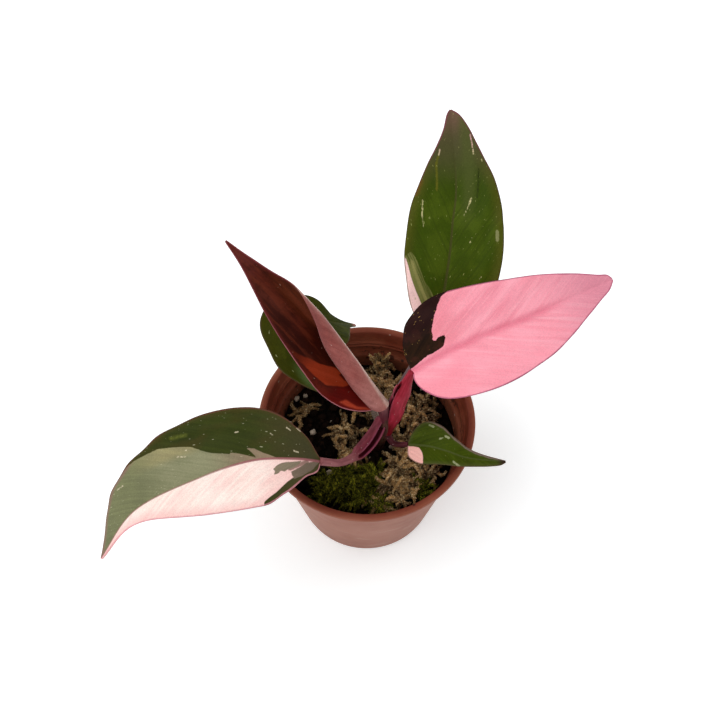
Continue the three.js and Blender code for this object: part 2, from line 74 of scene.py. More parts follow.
# A leaf's midrib runs from base to tip. face is where its upper side looks to. Its outline
# is flat: (distance along the midrib, distance out), for the halves left and right of the
# midrib as seen from above. lift (degrees) and curl (degrees per mm) bend the left and the
# right half. wave is the height and length of the ripples of the margin.
PLAIN_LEAF = {"lift": ([12], [12]), "curl": ([-0.3], [-0.3]), "wave": (0, 10)}
LEAVES = {
    "half_pink": {
        "midrib": [(-14.2, -25.7, 75.7), (-21.8, -27.5, 81.3), (-34.2, -28.6, 82.3),
                   (-49.6, -32.4, 78.7), (-69.8, -38.6, 68.7), (-82.1, -47.1, 50.9)],
        "face": [(0, -0.25, 1), (-0.15, -0.3, 1), (-0.5, -0.35, 1), (-0.9, -0.4, 0.9)],
        "left": [(0, 1), (1.5, 3.4), (6.5, 5.6), (12, 10.5), (17.5, 14), (25, 14.6), (35, 13.2),
                 (47, 9.8), (60, 5.3), (71, 2.4), (85, 0.3)],
        "right": [(0, 1), (5, 6), (12, 11.7), (20, 15.4), (30, 17.1), (38, 17.4), (47, 16.2),
                  (56, 13.4), (65, 9.6), (75, 4.6), (85, 0.3)],
        "wave": (0.5, 24),
    },
    "rolled": {
        "midrib": [(5.1, -7.9, 78.8), (-5.4, -0.9, 90.6), (-16.1, 7.4, 100.9), (-30.3, 17.6, 112.4),
                   (-41.5, 24.9, 119)],
        "face": [(0.22, -0.66, 0.72), (0.22, -0.66, 0.72)],
        "left": [(0, 0.9), (2.6, 5.4), (9, 10.2), (17, 12.7), (26, 12.4), (36, 11.1), (46, 8.8),
                 (55, 5.7), (63, 2.6), (70, 0.3)],
        "right": [(0, 0.9), (1, 6.8), (6.5, 11.4), (16, 11.8), (30, 11.8), (42, 8.3), (53, 2.6),
                  (62, 0.9), (70, 0.3)],
        "lift": ([15], [40, 14, 4, 4, 4]), "curl": ([0.6], [25.5, 19, 15.5, 15, 8]), "wave": (0.2, 22),
    },
    "low_green": {
        "midrib": [(-12.4, 3.2, 65), (-18.6, 7.6, 70.2), (-22.6, 14, 74.2), (-22.2, 20.2, 76.3),
                   (-17.2, 24.4, 76), (-10.6, 25, 72.2), (-3.9, 27.7, 66.2)],
        "face": [(-0.2, -0.2, 1), (-0.1, -0.1, 1), (0.1, 0.05, 1), (0.3, 0.3, 1)],
        "left": [(0, 0.9), (4, 2.4), (9, 4.4), (14, 6.8), (19, 8.2), (24, 12), (28, 12.4), (32, 8.4),
                 (36, 5.2), (40, 3.2), (44, 1.3), (49, 0.3)],
        "right": [(0, 0.9), (2, 5), (8, 9.4), (16, 11.8), (26, 12.2), (35, 11.6), (40, 9), (43, 4.8),
                  (45.6, 1.4), (49, 0.3)],
        "lift": ([5], [5]), "curl": ([-0.5], [-0.5]), "wave": (0.4, 19),
    },
    "back_green": {
        "midrib": [(21.5, 11.3, 90.7), (24.4, 25.8, 107.1), (25.3, 33.7, 115.5), (26.3, 43.6, 121.3),
                   (24.8, 64.5, 129.8)],
        "face": [(0, -0.6, 1), (0, -0.5, 1), (0, -0.3, 1)],
        "left": [(0, 1), (1, 5), (5, 8.6), (14, 11.9), (24, 13.8), (35, 13.4), (44, 11.6), (51, 8.7),
                 (57, 5.2), (62, 2.7), (66.6, 1.2), (68, 0.3)],
        "right": [(0, 1), (1, 6), (5, 10.6), (12, 14.2), (22, 15.7), (34, 15.3), (43, 12.7), (50, 9.8),
                  (57, 6.9), (62, 5), (66.4, 2.4), (68, 0.3)],
        "wave": (0.4, 23),
    },
    "pink": {
        "midrib": [(13.3, -3.1, 90.8), (29, 2.2, 98.6), (46, 8.2, 102.3), (62.2, 16, 103.1),
                   (73.7, 22, 102.5)],
        "face": [(0, -0.35, 1), (0, -0.35, 1), (0.2, -0.3, 1)],
        "left": [(0, 1), (0.2, 4.4), (1.8, 9), (6.4, 14), (15, 16.5), (24, 15.5), (35, 13.4),
                 (46, 10.5), (57, 6.2), (64, 3), (66.8, 1.9), (67.8, 0.5)],
        "right": [(0, 1), (-0.4, 3.4), (1.4, 7.9), (7, 13.1), (19, 16.6), (30, 16.1), (42, 13.1),
                  (53, 8.4), (61, 4.6), (65.4, 2.6), (67.8, 0.5)],
        "wave": (0.4, 25),
    },
    "small": {
        "midrib": [(12.8, -12.9, 61.1), (19.1, -14, 62.2), (24.9, -16, 62.8), (31.6, -17.7, 61.4),
                   (43.4, -17.6, 58.5)],
        "face": [(0, -0.3, 1), (0, -0.3, 1), (0.2, -0.3, 1)],
        "left": [(0, 0.8), (1.2, 3.9), (5, 7.6), (9, 7.2), (13.5, 4.8), (19, 3), (25, 1.5), (32, 0.3)],
        "right": [(0, 0.8), (0.6, 3.8), (3, 5.6), (7, 6.2), (13, 4.7), (20, 2.9), (27, 2), (30.4, 1.3),
                  (32, 0.3)],
        "lift": ([14], [14]), "wave": (0.2, 14),
    },
}

# A petiole runs from the stem to the leaf's base. channel is 0 where its section is round
# and 1 where it is the open trough of a sheath. up is where the trough opens to.
SHEATH_WRAP = 156      # degrees that a sheath's wings reach round from its back
PETIOLES = {
    "half_pink": {
        "path": [(4.8, -7.2, 71), (4.2, -8, 67), (3, -10, 65), (0.8, -13.4, 64.5), (-1.7, -17, 65.5),
                 (-4.2, -20.4, 67.6), (-8.5, -24, 71.2), (-14.2, -25.7, 75.7)],
        "radius": [1.7, 1.9, 2.2, 2.4, 2.5, 2.4, 2.2, 1.4, 1.25, 1.15, 1.15, 1.2, 1.2],
        "channel": [0.6, 0.8, 0.9, 1, 1, 1, 0.9, 0, 0, 0, 0, 0, 0], "up": (0.48, -0.75, 0.7),
    },
    "rolled": {
        "path": [(5.4, -8, 69), (5.3, -8, 74), (5.1, -7.9, 78.8)],
        "radius": [1.6, 1.6, 1.5], "up": (0.22, -0.66, 0.72),
    },
    "low_green": {
        "path": [(5.2, -6.4, 58), (2.6, -2.4, 64), (-4, 1, 66.4), (-12.4, 3.2, 65)],
        "radius": [1.5, 1.4, 1.2, 1.1], "up": (0, 0, 1),
    },
    "back_green": {
        "path": [(5.6, -8, 66), (8.6, -4.6, 75), (14.6, 3, 83.5), (21.5, 11.3, 90.7)],
        "radius": [1.9, 1.8, 1.5, 1.4], "channel": [0, 0.6, 0, 0], "up": (0, -0.6, 1),
    },
    "pink": {
        "path": [(6.4, -8.4, 59), (7.6, -8.2, 66), (8.6, -7.9, 72), (9.4, -7.2, 79), (11.2, -5.7, 85),
                 (13.3, -3.1, 90.8)],
        "radius": [1.2, 1.3, 1.8, 2.3, 2.6, 2.6, 2.6, 1.6, 1],
        "channel": [0, 0.4, 0.8, 0.9, 1, 1, 0.8, 0, 0], "up": (-0.97, -0.13, 0.2),
    },
    "small": {
        "path": [(6.4, -8.6, 59.5), (8.5, -11.4, 58.8), (12.8, -12.9, 61.1)],
        "radius": [1.2, 0.9, 0.8], "up": (0, 0, 1),
    },
}

SPENT_SHEATH = {
    "midrib": [(2.6, -6.2, 62), (2, -6.9, 68), (1.6, -7.6, 74), (0.8, -7.9, 79)],
    "face": [(-0.7, -0.4, 0.3), (-0.4, -0.8, 0.4)],
    "left": [(0, 1.4), (6, 2.4), (12, 1.8), (17.2, 0.4)],
    "right": [(0, 1.4), (6, 2.4), (12, 1.8), (17.2, 0.4)],
    "lift": ([0], [0]), "curl": ([-18], [-18]),
}

LIGULE = {
    "midrib": [(8.5, -6.4, 80), (8.7, -4.9, 83), (9.2, -4.3, 84.6)],
    "face": [(0.4, -0.5, 0.8), (0.4, -0.5, 0.8)],
    "left": [(0, 0.9), (1.6, 1.1), (3.4, 0.8), (4.8, 0.2)],
    "right": [(0, 0.9), (1.6, 1.1), (3.4, 0.8), (4.8, 0.2)],
    "lift": ([10], [10]), "curl": ([20], [20]),
}

BLADE = {
    "thickness": 0.5,
    "rib_depth": 1.1,      # midrib below the blade at its base
    "rib_width": 1.3,
    "groove": 0.22,        # dip of the midrib in the upper side
    "groove_width": 0.55,
    "sweep": 1.8,          # mm that a side vein runs on for each mm that it runs out
    "vein_gap": 7.0,
    "vein_dip": 0.03,
    "cell": 0.5,           # size of the mesh's faces
}
# the thin dry sheath and the curled tongue have no ribs
FILM = {"thickness": 0.3, "rib": 0.0}

STALK_SIDES = 48
STALK_STEPS = 90
STEM_STEPS = 160
POT_SECTORS = 200
MIX_SECTORS = 220
MIX_RINGS = 64         # on its top, and MIX_LEVELS down its side
MIX_LEVELS = 12

# ---------------------------------------------------------------- markings of the leaves

# Outlines of the colour patches, flat on the leaf: (distance along the midrib, distance
# out from it, + on the left half). Points past the margin only close the outline.
PATCHES = {
    "half_pink": {
        "band": [(90, -1), (85, -6), (66, -11.5), (55, -12.6), (47.5, -12.8), (41.2, -10.8),
                 (37.6, -9.3), (35.5, -7.3), (32.9, -5.5), (27.8, -3.3), (27.7, -3.9), (20.6, -0.5),
                 (23, -4), (21, -3.4), (18.7, -1.8), (14.7, -0.2), (14.7, 0.1), (90, 0.1)],
        "pink": [(-2, 0), (90, 0), (90, 20), (19.8, 20), (19.8, 13.3), (15.4, 10.9), (12.3, 7.6),
                 (10.6, 6.1), (5.7, 4), (2.2, 1.7), (0.4, 0.2)],
        "grey_upper": [(7.3, 0.2), (7.3, 0.6), (13.4, 1.3), (14.8, 2.1), (16.2, 3.5), (15.4, 3.9),
                       (15.8, 5.1), (14.4, 4.7), (13.7, 3.7), (12.6, 4.3), (11.9, 3.5), (9.9, 2.8),
                       (7.9, 1.5)],
        "grey_lower": [(0.9, -0.2), (5.7, 1.1), (10.9, 4.2), (10.2, 6.4), (7.8, 5.4), (3.5, 3),
                       (0.6, 0.5)],
    },
    "back_green": {
        "sage": [(-5, 20), (22.6, 20), (22.6, 13.1), (24.2, 11.9), (21.1, 9.5), (14.6, 6.3), (13.5, 5),
                 (7.9, 1.4), (-5, 0.6)],
        "pale": [(-5, 20), (22, 20), (22, 13.2), (15.8, 10.7), (11.9, 8.8), (3, 3.6), (-5, 3)],
    },
    "pink": {
        "dark": [(19.9, 20), (19.9, 16.1), (18.2, 15.6), (16.2, 14), (13.8, 11.1), (11.2, 7.8),
                 (10.9, 6.3), (10.1, 5.3), (10.8, 4.5), (11.9, 5.2), (13.9, 4.9), (13.9, 4), (12.1, 2),
                 (8.5, 1.7), (6.4, 1.9), (1, 0.8), (-3, 0.8), (-3, 20)],
    },
    "small": {
        "pink": [(-2, -0.9), (0.1, -0.5), (1.7, -0.5), (3.6, -0.8), (4.5, -1.8), (5.4, -3.4),
                 (5.9, -5.6), (6.2, -9), (-2, -9)],
    },
    "rolled": {
        "orange": [(34.6, 10.7), (29.8, 9.2), (27.5, 7.9), (24.1, 6.7), (19.9, 3.7), (17.3, 3.6),
                   (17.7, 4.5), (13.1, 4.1), (14, 5.9), (16.1, 7.5), (18.5, 9.6), (22, 10.3),
                   (31.8, 11.2)],
        "ember": [(12, 10.1), (10.7, 8.1), (6.5, 6.9), (3.9, 5), (2, 4.2), (5.9, 7.5), (8.8, 9)],
    },
}

# Streaks of another colour: the line each one follows, and half its width
STREAKS = {
    "half_pink": {
        "cream": [([(43.1, -8.3), (40.4, -7.4)], 0.2), ([(40.2, -9.3), (38.6, -8.7)], 0.12),
                  ([(25.2, -9.4), (24.2, -9.1)], 0.2), ([(16.6, -7.4), (16, -7.1)], 0.16),
                  ([(12.2, -9.2), (11, -8.4)], 0.16), ([(9.9, -2.4), (8.4, -2)], 0.18),
                  ([(9, -9.2), (8, -8.3)], 0.22), ([(63.4, -8.4), (61, -8.1)], 0.16)],
        "lime": [([(43, -14.2), (38, -13.3)], 0.3)],
        "beige": [([(11.1, 3.2), (5.1, 0.5)], 0.6)],
    },
    "back_green": {
        "cream": [([(59.8, -5.2), (57.1, -5.5), (53.5, -5.7)], 0.16),
                  ([(41.1, -4.6), (39.6, -4.2)], 0.24), ([(39.6, -4.2), (36.1, -3.1)], 0.14),
                  ([(39, 9.9), (34.6, 9.4)], 0.2), ([(34.6, 9.4), (32.1, 8.7)], 0.12),
                  ([(55.8, 4.3), (53.9, 4.8)], 0.2), ([(29.8, -6), (28.1, -5.7)], 0.16),
                  ([(51.9, -8), (51.3, -8)], 0.16), ([(18.8, -10.3), (18, -9.9)], 0.16)],
        "blob": [([(32.3, -13.4), (29.8, -13.7)], 0.5)],
        "lime": [([(53.7, 5), (51, 5.8), (47.1, 5.8), (43, 5.9)], 0.3)],
        "dark": [([(49.1, -6.9), (45.6, -6.6), (41.4, -6.3)], 0.2)],
        "ember": [([(46, 11), (41, 12.4)], 0.8)],
        "straw": [([(20.8, 11.2), (16.7, 9.3), (12.1, 6.9), (9.2, 5.1)], 0.5)],
    },
    "small": {
        "cream": [([(6, 6.5), (7, 6.2)], 0.3), ([(9.3, 3), (10.1, 3.4)], 0.3),
                  ([(11, 4.3), (12, 4.1)], 0.38), ([(15.5, -2.6), (17.3, -3.4)], 0.3)],
    },
    "low_green": {
        "cream": [([(12, 3.4), (12.5, 3.6)], 0.1), ([(22, 8), (22.5, 8.2)], 0.1),
                  ([(17, 6), (17.8, 6.4)], 0.1)],
    },
}

CAMERA = {"place": (-2.2, -221.8, 487.4), "tilt": 29.3, "lens": 75.7, "sensor": 36.0}
# a light's place (m), its width and its power
LIGHTS = {"key": ((-0.7, -0.25, 1.2), 1.6, 12.6), "fill": ((0.9, 0.5, 0.9), 0.9, 3.0)}
LIGHT_AIM = (0, 0, 0.05)
SKY = 0.46
# the floor's own glow: lower under the pot, as a painted contact shadow, then round it, and far off
FLOOR_GLOW = (0.34, 0.48, 0.8)

# ---------------------------------------------------------------- numbers and curves


def along(values, share):
    """The value at each share 0..1 of a list of numbers or of points."""
    table = np.asarray(values, float)
    if table.ndim == 1:
        return np.interp(np.clip(share, 0, 1) * (len(table) - 1), np.arange(len(table)), table)
    return np.stack([along(axis, share) for axis in table.T], -1)


def unit(vectors):
    return vectors / np.linalg.norm(vectors, axis=-1, keepdims=True)


def fade(value, low, high):
    """0 at low, 1 at high, smooth in between."""
    part = np.clip((value - low) / (high - low), 0, 1)
    return part * part * (3 - 2 * part)


class Curve:
    """A smooth Catmull-Rom line through points, read by the share of its length."""

    def __init__(self, points, centripetal=False, samples=60):
        p = np.asarray(points, float)
        p = np.vstack([2 * p[0] - p[1], p, 2 * p[-1] - p[-2]])
        t = np.linspace(0, 1, samples, endpoint=False)[:, None]
        power = 0.5 if centripetal else 0
        rows = []
        for a, b, c, d in zip(p, p[1:], p[2:], p[3:]):
            k, m, n = (np.linalg.norm(v - u) ** power for u, v in ((a, b), (b, c), (c, d)))
            start = ((b - a) / k - (c - a) / (k + m) + (c - b) / m) * m
            end = ((c - b) / m - (d - b) / (m + n) + (d - c) / n) * m
            cube = 2 * b - 2 * c + start + end
            square = 3 * c - 3 * b - 2 * start - end
            rows.append(b + t * (start + t * (square + t * cube)))
        self.points = np.vstack([*rows, p[-2][None]])
        steps = np.linalg.norm(np.diff(self.points, axis=0), axis=1)
        self.reach = np.concatenate([[0], np.cumsum(steps)])
        self.length = self.reach[-1]

    def at(self, share):
        place = np.asarray(share, float) * self.length
        return np.stack([np.interp(place, self.reach, axis) for axis in self.points.T], -1)

    def tangent(self, share, step=0.004):
        return unit(self.at(np.minimum(share + step, 1)) - self.at(np.maximum(share - step, 0)))

    def frames(self, shares):
        """Place, direction, side and up at each share."""
        lead = self.tangent(shares)
        side = unit(np.cross(lead, (0.13, 0.21, 0.97)))
        return zip(self.at(shares), lead, side, np.cross(side, lead))


class Surface:
    """A leaf's upper side: place(x, y) bends a flat point of the leaf into space."""

    def __init__(self, leaf):
        self.leaf = {**PLAIN_LEAF, **leaf}
        self.curve = Curve(leaf["midrib"])
        self.length = self.curve.length

    def place(self, x, y):
        leaf = self.leaf
        share = np.clip(x / self.length, 0, 1)
        tangent = self.curve.tangent(share)
        point = self.curve.at(share) + tangent * (x - share * self.length)[..., None]
        up = along(leaf["face"], share)
        up = unit(up - tangent * np.sum(up * tangent, -1, keepdims=True))
        left, right = ([np.radians(along(leaf[key][half], share)) for key in ("lift", "curl")]
                       for half in (0, 1))
        start, bend = np.where(y < 0, right, left)
        turn = start + bend * np.abs(y)
        across = np.sign(y) * (np.sin(turn) - np.sin(start)) / bend
        height, length = leaf["wave"]
        rise = (np.cos(start) - np.cos(turn)) / bend
        rise = rise + height * (y / 15) ** 2 * np.sin(2 * np.pi * x / length + y)
        return point + np.cross(up, tangent) * across[..., None] + up * rise[..., None]

    def normal(self, x, y, step=0.4):
        return unit(np.cross(self.place(x + step, y) - self.place(x - step, y),
                             self.place(x, y + step) - self.place(x, y - step)))


def line_distance(x, y, line):
    """Distance from flat points to a line of straight parts."""
    nearest = np.full(x.shape, 1e9)
    for (ax, ay), (bx, by) in zip(line, line[1:]):
        dx, dy = bx - ax, by - ay
        share = ((x - ax) * dx + (y - ay) * dy) / max(dx * dx + dy * dy, 1e-9)
        share = np.clip(share, 0, 1)
        nearest = np.minimum(nearest, np.hypot(x - ax - share * dx, y - ay - share * dy))
    return nearest


def patch_distance(x, y, outline):
    """Distance from flat points to a closed outline, negative inside it."""
    closed = outline + outline[:1]
    inside = np.zeros(x.shape, bool)
    for (ax, ay), (bx, by) in zip(closed, closed[1:]):
        if ay != by:
            inside ^= ((ay > y) != (by > y)) & (x < ax + (y - ay) * (bx - ax) / (by - ay))
    return np.where(inside, -1, 1) * line_distance(x, y, closed)


# ---------------------------------------------------------------- meshes


def make_object(name, points, faces, attributes):
    """A mesh from points in mm. attributes are numbers, or triples, for each point."""
    mesh = bpy.data.meshes.new(name)
    mesh.from_pydata(np.asarray(points, float) * MM, [], faces)
    for key, values in attributes.items():
        add_attribute(mesh, key, values)
    mesh.update()
    outward = bmesh.new()
    outward.from_mesh(mesh)
    bmesh.ops.recalc_face_normals(outward, faces=outward.faces)
    outward.to_mesh(mesh)
    outward.free()
    mesh.shade_smooth()
    thing = bpy.data.objects.new(name, mesh)
    bpy.context.scene.collection.objects.link(thing)
    return thing


def add_attribute(mesh, key, values):
    values = np.asarray(values, np.float32)
    kind, field = ("FLOAT", "value") if values.ndim == 1 else ("FLOAT_VECTOR", "vector")
    mesh.attributes.new(key, kind, "POINT").data.foreach_set(field, values.ravel())


def finish_piece(thing, material, slot, *nodes):
    """Gives a piece its material, its place in the frame and the solids it stands for."""
    thing.data.materials.clear()
    thing.data.materials.append(material)
    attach(thing, "root")
    if nodes:
        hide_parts(*nodes)


def tube_faces(rings, sides, poles=0):
    """Faces of a tube whose points are listed ring by ring. Its ends are flat or, with
    poles=1, run to two single points, one before the rings and one after them."""
    last = poles + rings * sides
    faces = []
    for k in range(sides):
        n = (k + 1) % sides
        faces += [(i + k, i + n, i + sides + n, i + sides + k)
                  for i in range(poles, last - sides, sides)]
        if poles:
            faces += [(0, 1 + n, 1 + k), (last, last - sides + k, last - sides + n)]
    return faces if poles else [*faces, range(sides)[::-1], range(last - sides, last)]


def blade_mesh(name, leaf, patches, streaks, thickness=BLADE["thickness"],
               rib=BLADE["rib_depth"], cell=BLADE["cell"]):
    """A leaf blade with a rounded margin, a midrib that stands out below, and shallow veins."""
    surface = Surface(leaf)
    rows = int(surface.length / cell)
    share = np.linspace(0, 1, rows + 1)[:, None]
    rib_x = surface.length * share ** 1.45
    halves, margins = [], []
    for half, sign in (("right", -1), ("left", 1)):
        edge = Curve(leaf[half], True)
        margins.append(edge.points[::12] * (1, sign))
        edge_x, edge_y = np.moveaxis(edge.at(share), -1, 0)
        columns = max(6, int(max(out for _, out in leaf[half]) / cell))
        part = (np.arange(columns + 1) / columns)[None] ** 1.05
        grid = np.stack([rib_x + (edge_x - rib_x) * part, sign * edge_y * part, part + 0 * rib_x])
        halves.append(grid[..., :0:-1] if half == "right" else grid)
    x, y, part = np.concatenate(halves, -1)
    edge_gap = np.minimum(*[line_distance(x, y, margin) for margin in margins])

    taper = 1 - 0.8 * share
    groove = BLADE["groove"] * taper * np.exp(-(y / BLADE["groove_width"]) ** 2)
    phase = np.pi * (x - BLADE["sweep"] * np.abs(y)) / BLADE["vein_gap"]
    vein = BLADE["vein_dip"] * np.exp(-(np.sin(phase) / 0.22) ** 2)
    vein = vein * fade(np.abs(y), 0.3, 2) * fade(edge_gap, 0.2, 3)
    round_edge = 1 - np.sqrt(np.clip(1 - part ** 18, 0, 1))
    dip = thickness / BLADE["thickness"] * (groove + vein) + thickness / 2 * round_edge
    below = thickness + rib * taper * np.exp(-(y / BLADE["rib_width"]) ** 2) + vein
    below = below - (below - thickness / 2) * round_edge
    top, normal = surface.place(x, y), surface.normal(x, y)

    def per_point(upper, lower):
        """A value for each point of the upper side, then of the lower side off its margin."""
        tail = upper.shape[2:]
        return np.concatenate([upper.reshape(-1, *tail), lower[:, 1:-1].reshape(-1, *tail)])

    points = per_point(top - normal * dip[..., None], top - normal * below[..., None])
    under = per_point(np.where(part < 1, 0.0, 0.5), np.ones(x.shape))
    attributes = {"leaf": np.stack([per_point(x, x), per_point(y, y), under], -1),
                  "edge": per_point(edge_gap, edge_gap)}
    for key, outline in patches.items():
        distance = patch_distance(x, y, outline)
        attributes[key] = per_point(distance, distance)
    for key, lines in streaks.items():
        distance = np.min([line_distance(x, y, line) - half for line, half in lines], 0)
        attributes[key] = per_point(distance, distance)

    upper_grid = np.arange(x.size).reshape(x.shape)
    lower_grid = upper_grid.copy()
    lower_grid[:, 1:-1] = x.size + np.arange(len(points) - x.size).reshape(rows + 1, -1)
    faces = [[*upper_grid[i], *lower_grid[i, -2:0:-1]] for i in (0, rows)]
    for grid in (upper_grid, lower_grid):
        corners = (grid[:-1, :-1], grid[:-1, 1:], grid[1:, 1:], grid[1:, :-1])
        faces += np.stack(corners, -1).reshape(-1, 4).tolist()
    return make_object(name, points, faces, attributes)


def section(radius, channel):
    """Points of a stalk's section: round where channel is 0, a trough where it is 1."""
    outer_count = math.ceil(STALK_SIDES * 0.6)
    opening = math.radians(SHEATH_WRAP)
    wall = min(0.75, radius * 0.6)
    index = np.arange(STALK_SIDES)
    outer = index <= outer_count
    share = np.clip((index - outer_count) / (STALK_SIDES - outer_count), 0, 1)
    turn = np.where(outer, opening * (2 * index / outer_count - 1),
                    opening + 2 * (np.pi - opening) * share)
    inner = opening * (1 - 2 * share)
    closed = radius * np.stack([np.sin(turn), -np.cos(turn)], -1)
    trough = (radius - wall) * np.stack([np.sin(inner), -np.cos(inner)], -1)
    hollow = np.where(outer, 0.0, channel)
    rim = channel * fade(np.minimum(index, np.abs(outer_count - index)), 2.5, 0)
    return closed + (trough - closed) * hollow[:, None], hollow, rim


def stalk_mesh(name, stalk, steps=STALK_STEPS, swell=lambda share: 1.0, wobble=0.0):
    """A tapering stalk along a smooth path. swell(share) makes it thicker there."""
    curve = Curve(stalk["path"])
    up = np.asarray(stalk["up"], float)
    points, marks = [], []
    for share in np.linspace(0, 1, steps + 1):
        tangent = curve.tangent(share)
        rise = unit(up - tangent * np.dot(up, tangent))
        radius = float(along(stalk["radius"], share)) * swell(share)
        ring, hollow, rim = section(radius, float(along(stalk.get("channel", [0]), share)))
        angle = np.arctan2(ring[:, 0], -ring[:, 1])
        ring = ring * (1 + wobble * np.sin(5 * angle + 9 * share))[:, None]
        points.append(curve.at(share) + ring[:, :1] * np.cross(rise, tangent) + ring[:, 1:] * rise)
        reach = np.full(STALK_SIDES, share * curve.length)
        marks.append(np.stack([reach, ring[:, 1] / radius, hollow, rim], -1))
    marks = np.vstack(marks)
    return make_object(name, np.vstack(points), tube_faces(steps + 1, STALK_SIDES),
                       {"stalk": marks[:, :3], "rim": marks[:, 3]})


# ---------------------------------------------------------------- shader nodes


def tone(code):
    """A linear colour from #RRGGBB."""
    parts = [int(code[i:i + 2], 16) / 255 for i in (1, 3, 5)]
    return tuple(p / 12.92 if p <= 0.04045 else ((p + 0.055) / 1.055) ** 2.4
                 for p in parts) + (1.0,)


class Shader:
    """One material's nodes. paint is its colour so far, and lay puts more on it."""

    def __init__(self, name, **constants):
        self.material = bpy.data.materials.new(name)
        self.material.use_nodes = True
        self.tree = self.material.node_tree
        self.surface = self.tree.nodes["Principled BSDF"]
        for key, value in constants.items():
            self.surface.inputs[key.replace("_", " ")].default_value = value

    def node(self, kind, values, **settings):
        made = self.tree.nodes.new("ShaderNode" + kind)
        for key, value in settings.items():
            setattr(made, key, value)
        for key, value in values.items():
            self.feed(made.inputs[key], value)
        return made

    def feed(self, socket, value):
        if isinstance(value, bpy.types.NodeSocket):
            self.tree.links.new(value, socket)
        else:
            socket.default_value = tone(value) if isinstance(value, str) else value

    def number(self, name):
        return self.node("Attribute", {}, attribute_name=name).outputs["Fac"]

    def triple(self, name):
        return self.split(self.node("Attribute", {}, attribute_name=name).outputs["Vector"])

    def split(self, vector):
        return list(self.node("SeparateXYZ", {0: vector}).outputs)

    def join(self, x, y, z):
        return self.node("CombineXYZ", {0: x, 1: y, 2: z}).outputs[0]

    def place(self):
        """The point's place in the part's frame, in metres."""
        return self.node("TexCoord", {}).outputs["Object"]

    def math(self, operation, a, b=0.0, c=0.0):
        return self.node("Math", {0: a, 1: b, 2: c}, operation=operation).outputs[0]

    def plus(self, a, times, b):
        """a times a factor, plus b."""
        return self.math("MULTIPLY_ADD", a, times, b)

    def both(self, *shares):
        """The product of shares."""
        product = shares[0]
        for share in shares[1:]:
            product = self.math("MULTIPLY", product, share)
        return product

    def scaled(self, vector, x, y, z=1):
        return self.node("VectorMath", {0: vector, 1: (x, y, z)}, operation="MULTIPLY").outputs[0]

    def noise(self, vector, scale=1.0, detail=3.0, roughness=0.55):
        return self.node("TexNoise", {"Vector": vector, "Scale": scale, "Detail": detail,
                                      "Roughness": roughness}).outputs["Fac"]

    def cells(self, vector, scale=1.0):
        """A random triple and the distance to the middle, for cells of scattered sizes."""
        made = self.node("TexVoronoi", {"Vector": vector, "Scale": scale})
        return self.split(made.outputs["Color"]), made.outputs["Distance"]

    def spots(self, vector, scale, density, size):
        """Round marks in some of the cells, each of its own size."""
        chance, distance = self.cells(vector, scale)
        near = self.math("DIVIDE", distance, self.range(chance[1], 0.4, 1.0))
        return self.both(self.fade(near, size, size * 0.5),
                         self.math("LESS_THAN", chance[0], density))

    def fade(self, value, low, high):
        """0 at low, 1 at high."""
        return self.node("MapRange", {"Value": value, "From Min": low, "From Max": high},
                         interpolation_type="SMOOTHSTEP").outputs["Result"]

    def range(self, value, low, high):
        """value 0..1 turned to low..high."""
        return self.node("MapRange", {"Value": value, "To Min": low, "To Max": high}).outputs["Result"]

    def mix(self, share, low, high):
        return self.node("Mix", {0: share, 6: low, 7: high}, data_type="RGBA").outputs[2]

    def lay(self, color, *shares, **limits):
        """Lays a colour on the paint, by the product of the shares. x=(4, 8) also fades it
        in as x goes from 4 to 8, and x=(4, 8, 30, 20) fades it out again from 20 to 30."""
        for name, ends in limits.items():
            shares += tuple(self.fade(getattr(self, name), *pair)
                            for pair in zip(ends[::2], ends[1::2]))
        self.paint = self.mix(self.both(*shares), self.paint, color)

    def skin(self, roughness, height, relief):
        """Sets the finished colour, the roughness (low, high) and the fine relief in mm."""
        self.feed(self.surface.inputs["Base Color"], self.paint)
        self.feed(self.surface.inputs["Roughness"], self.range(height, *roughness))
        bump = self.node("Bump", {"Height": height, "Distance": relief * MM})
        self.feed(self.surface.inputs["Normal"], bump.outputs[0])
        return self.material


# ---------------------------------------------------------------- leaf materials


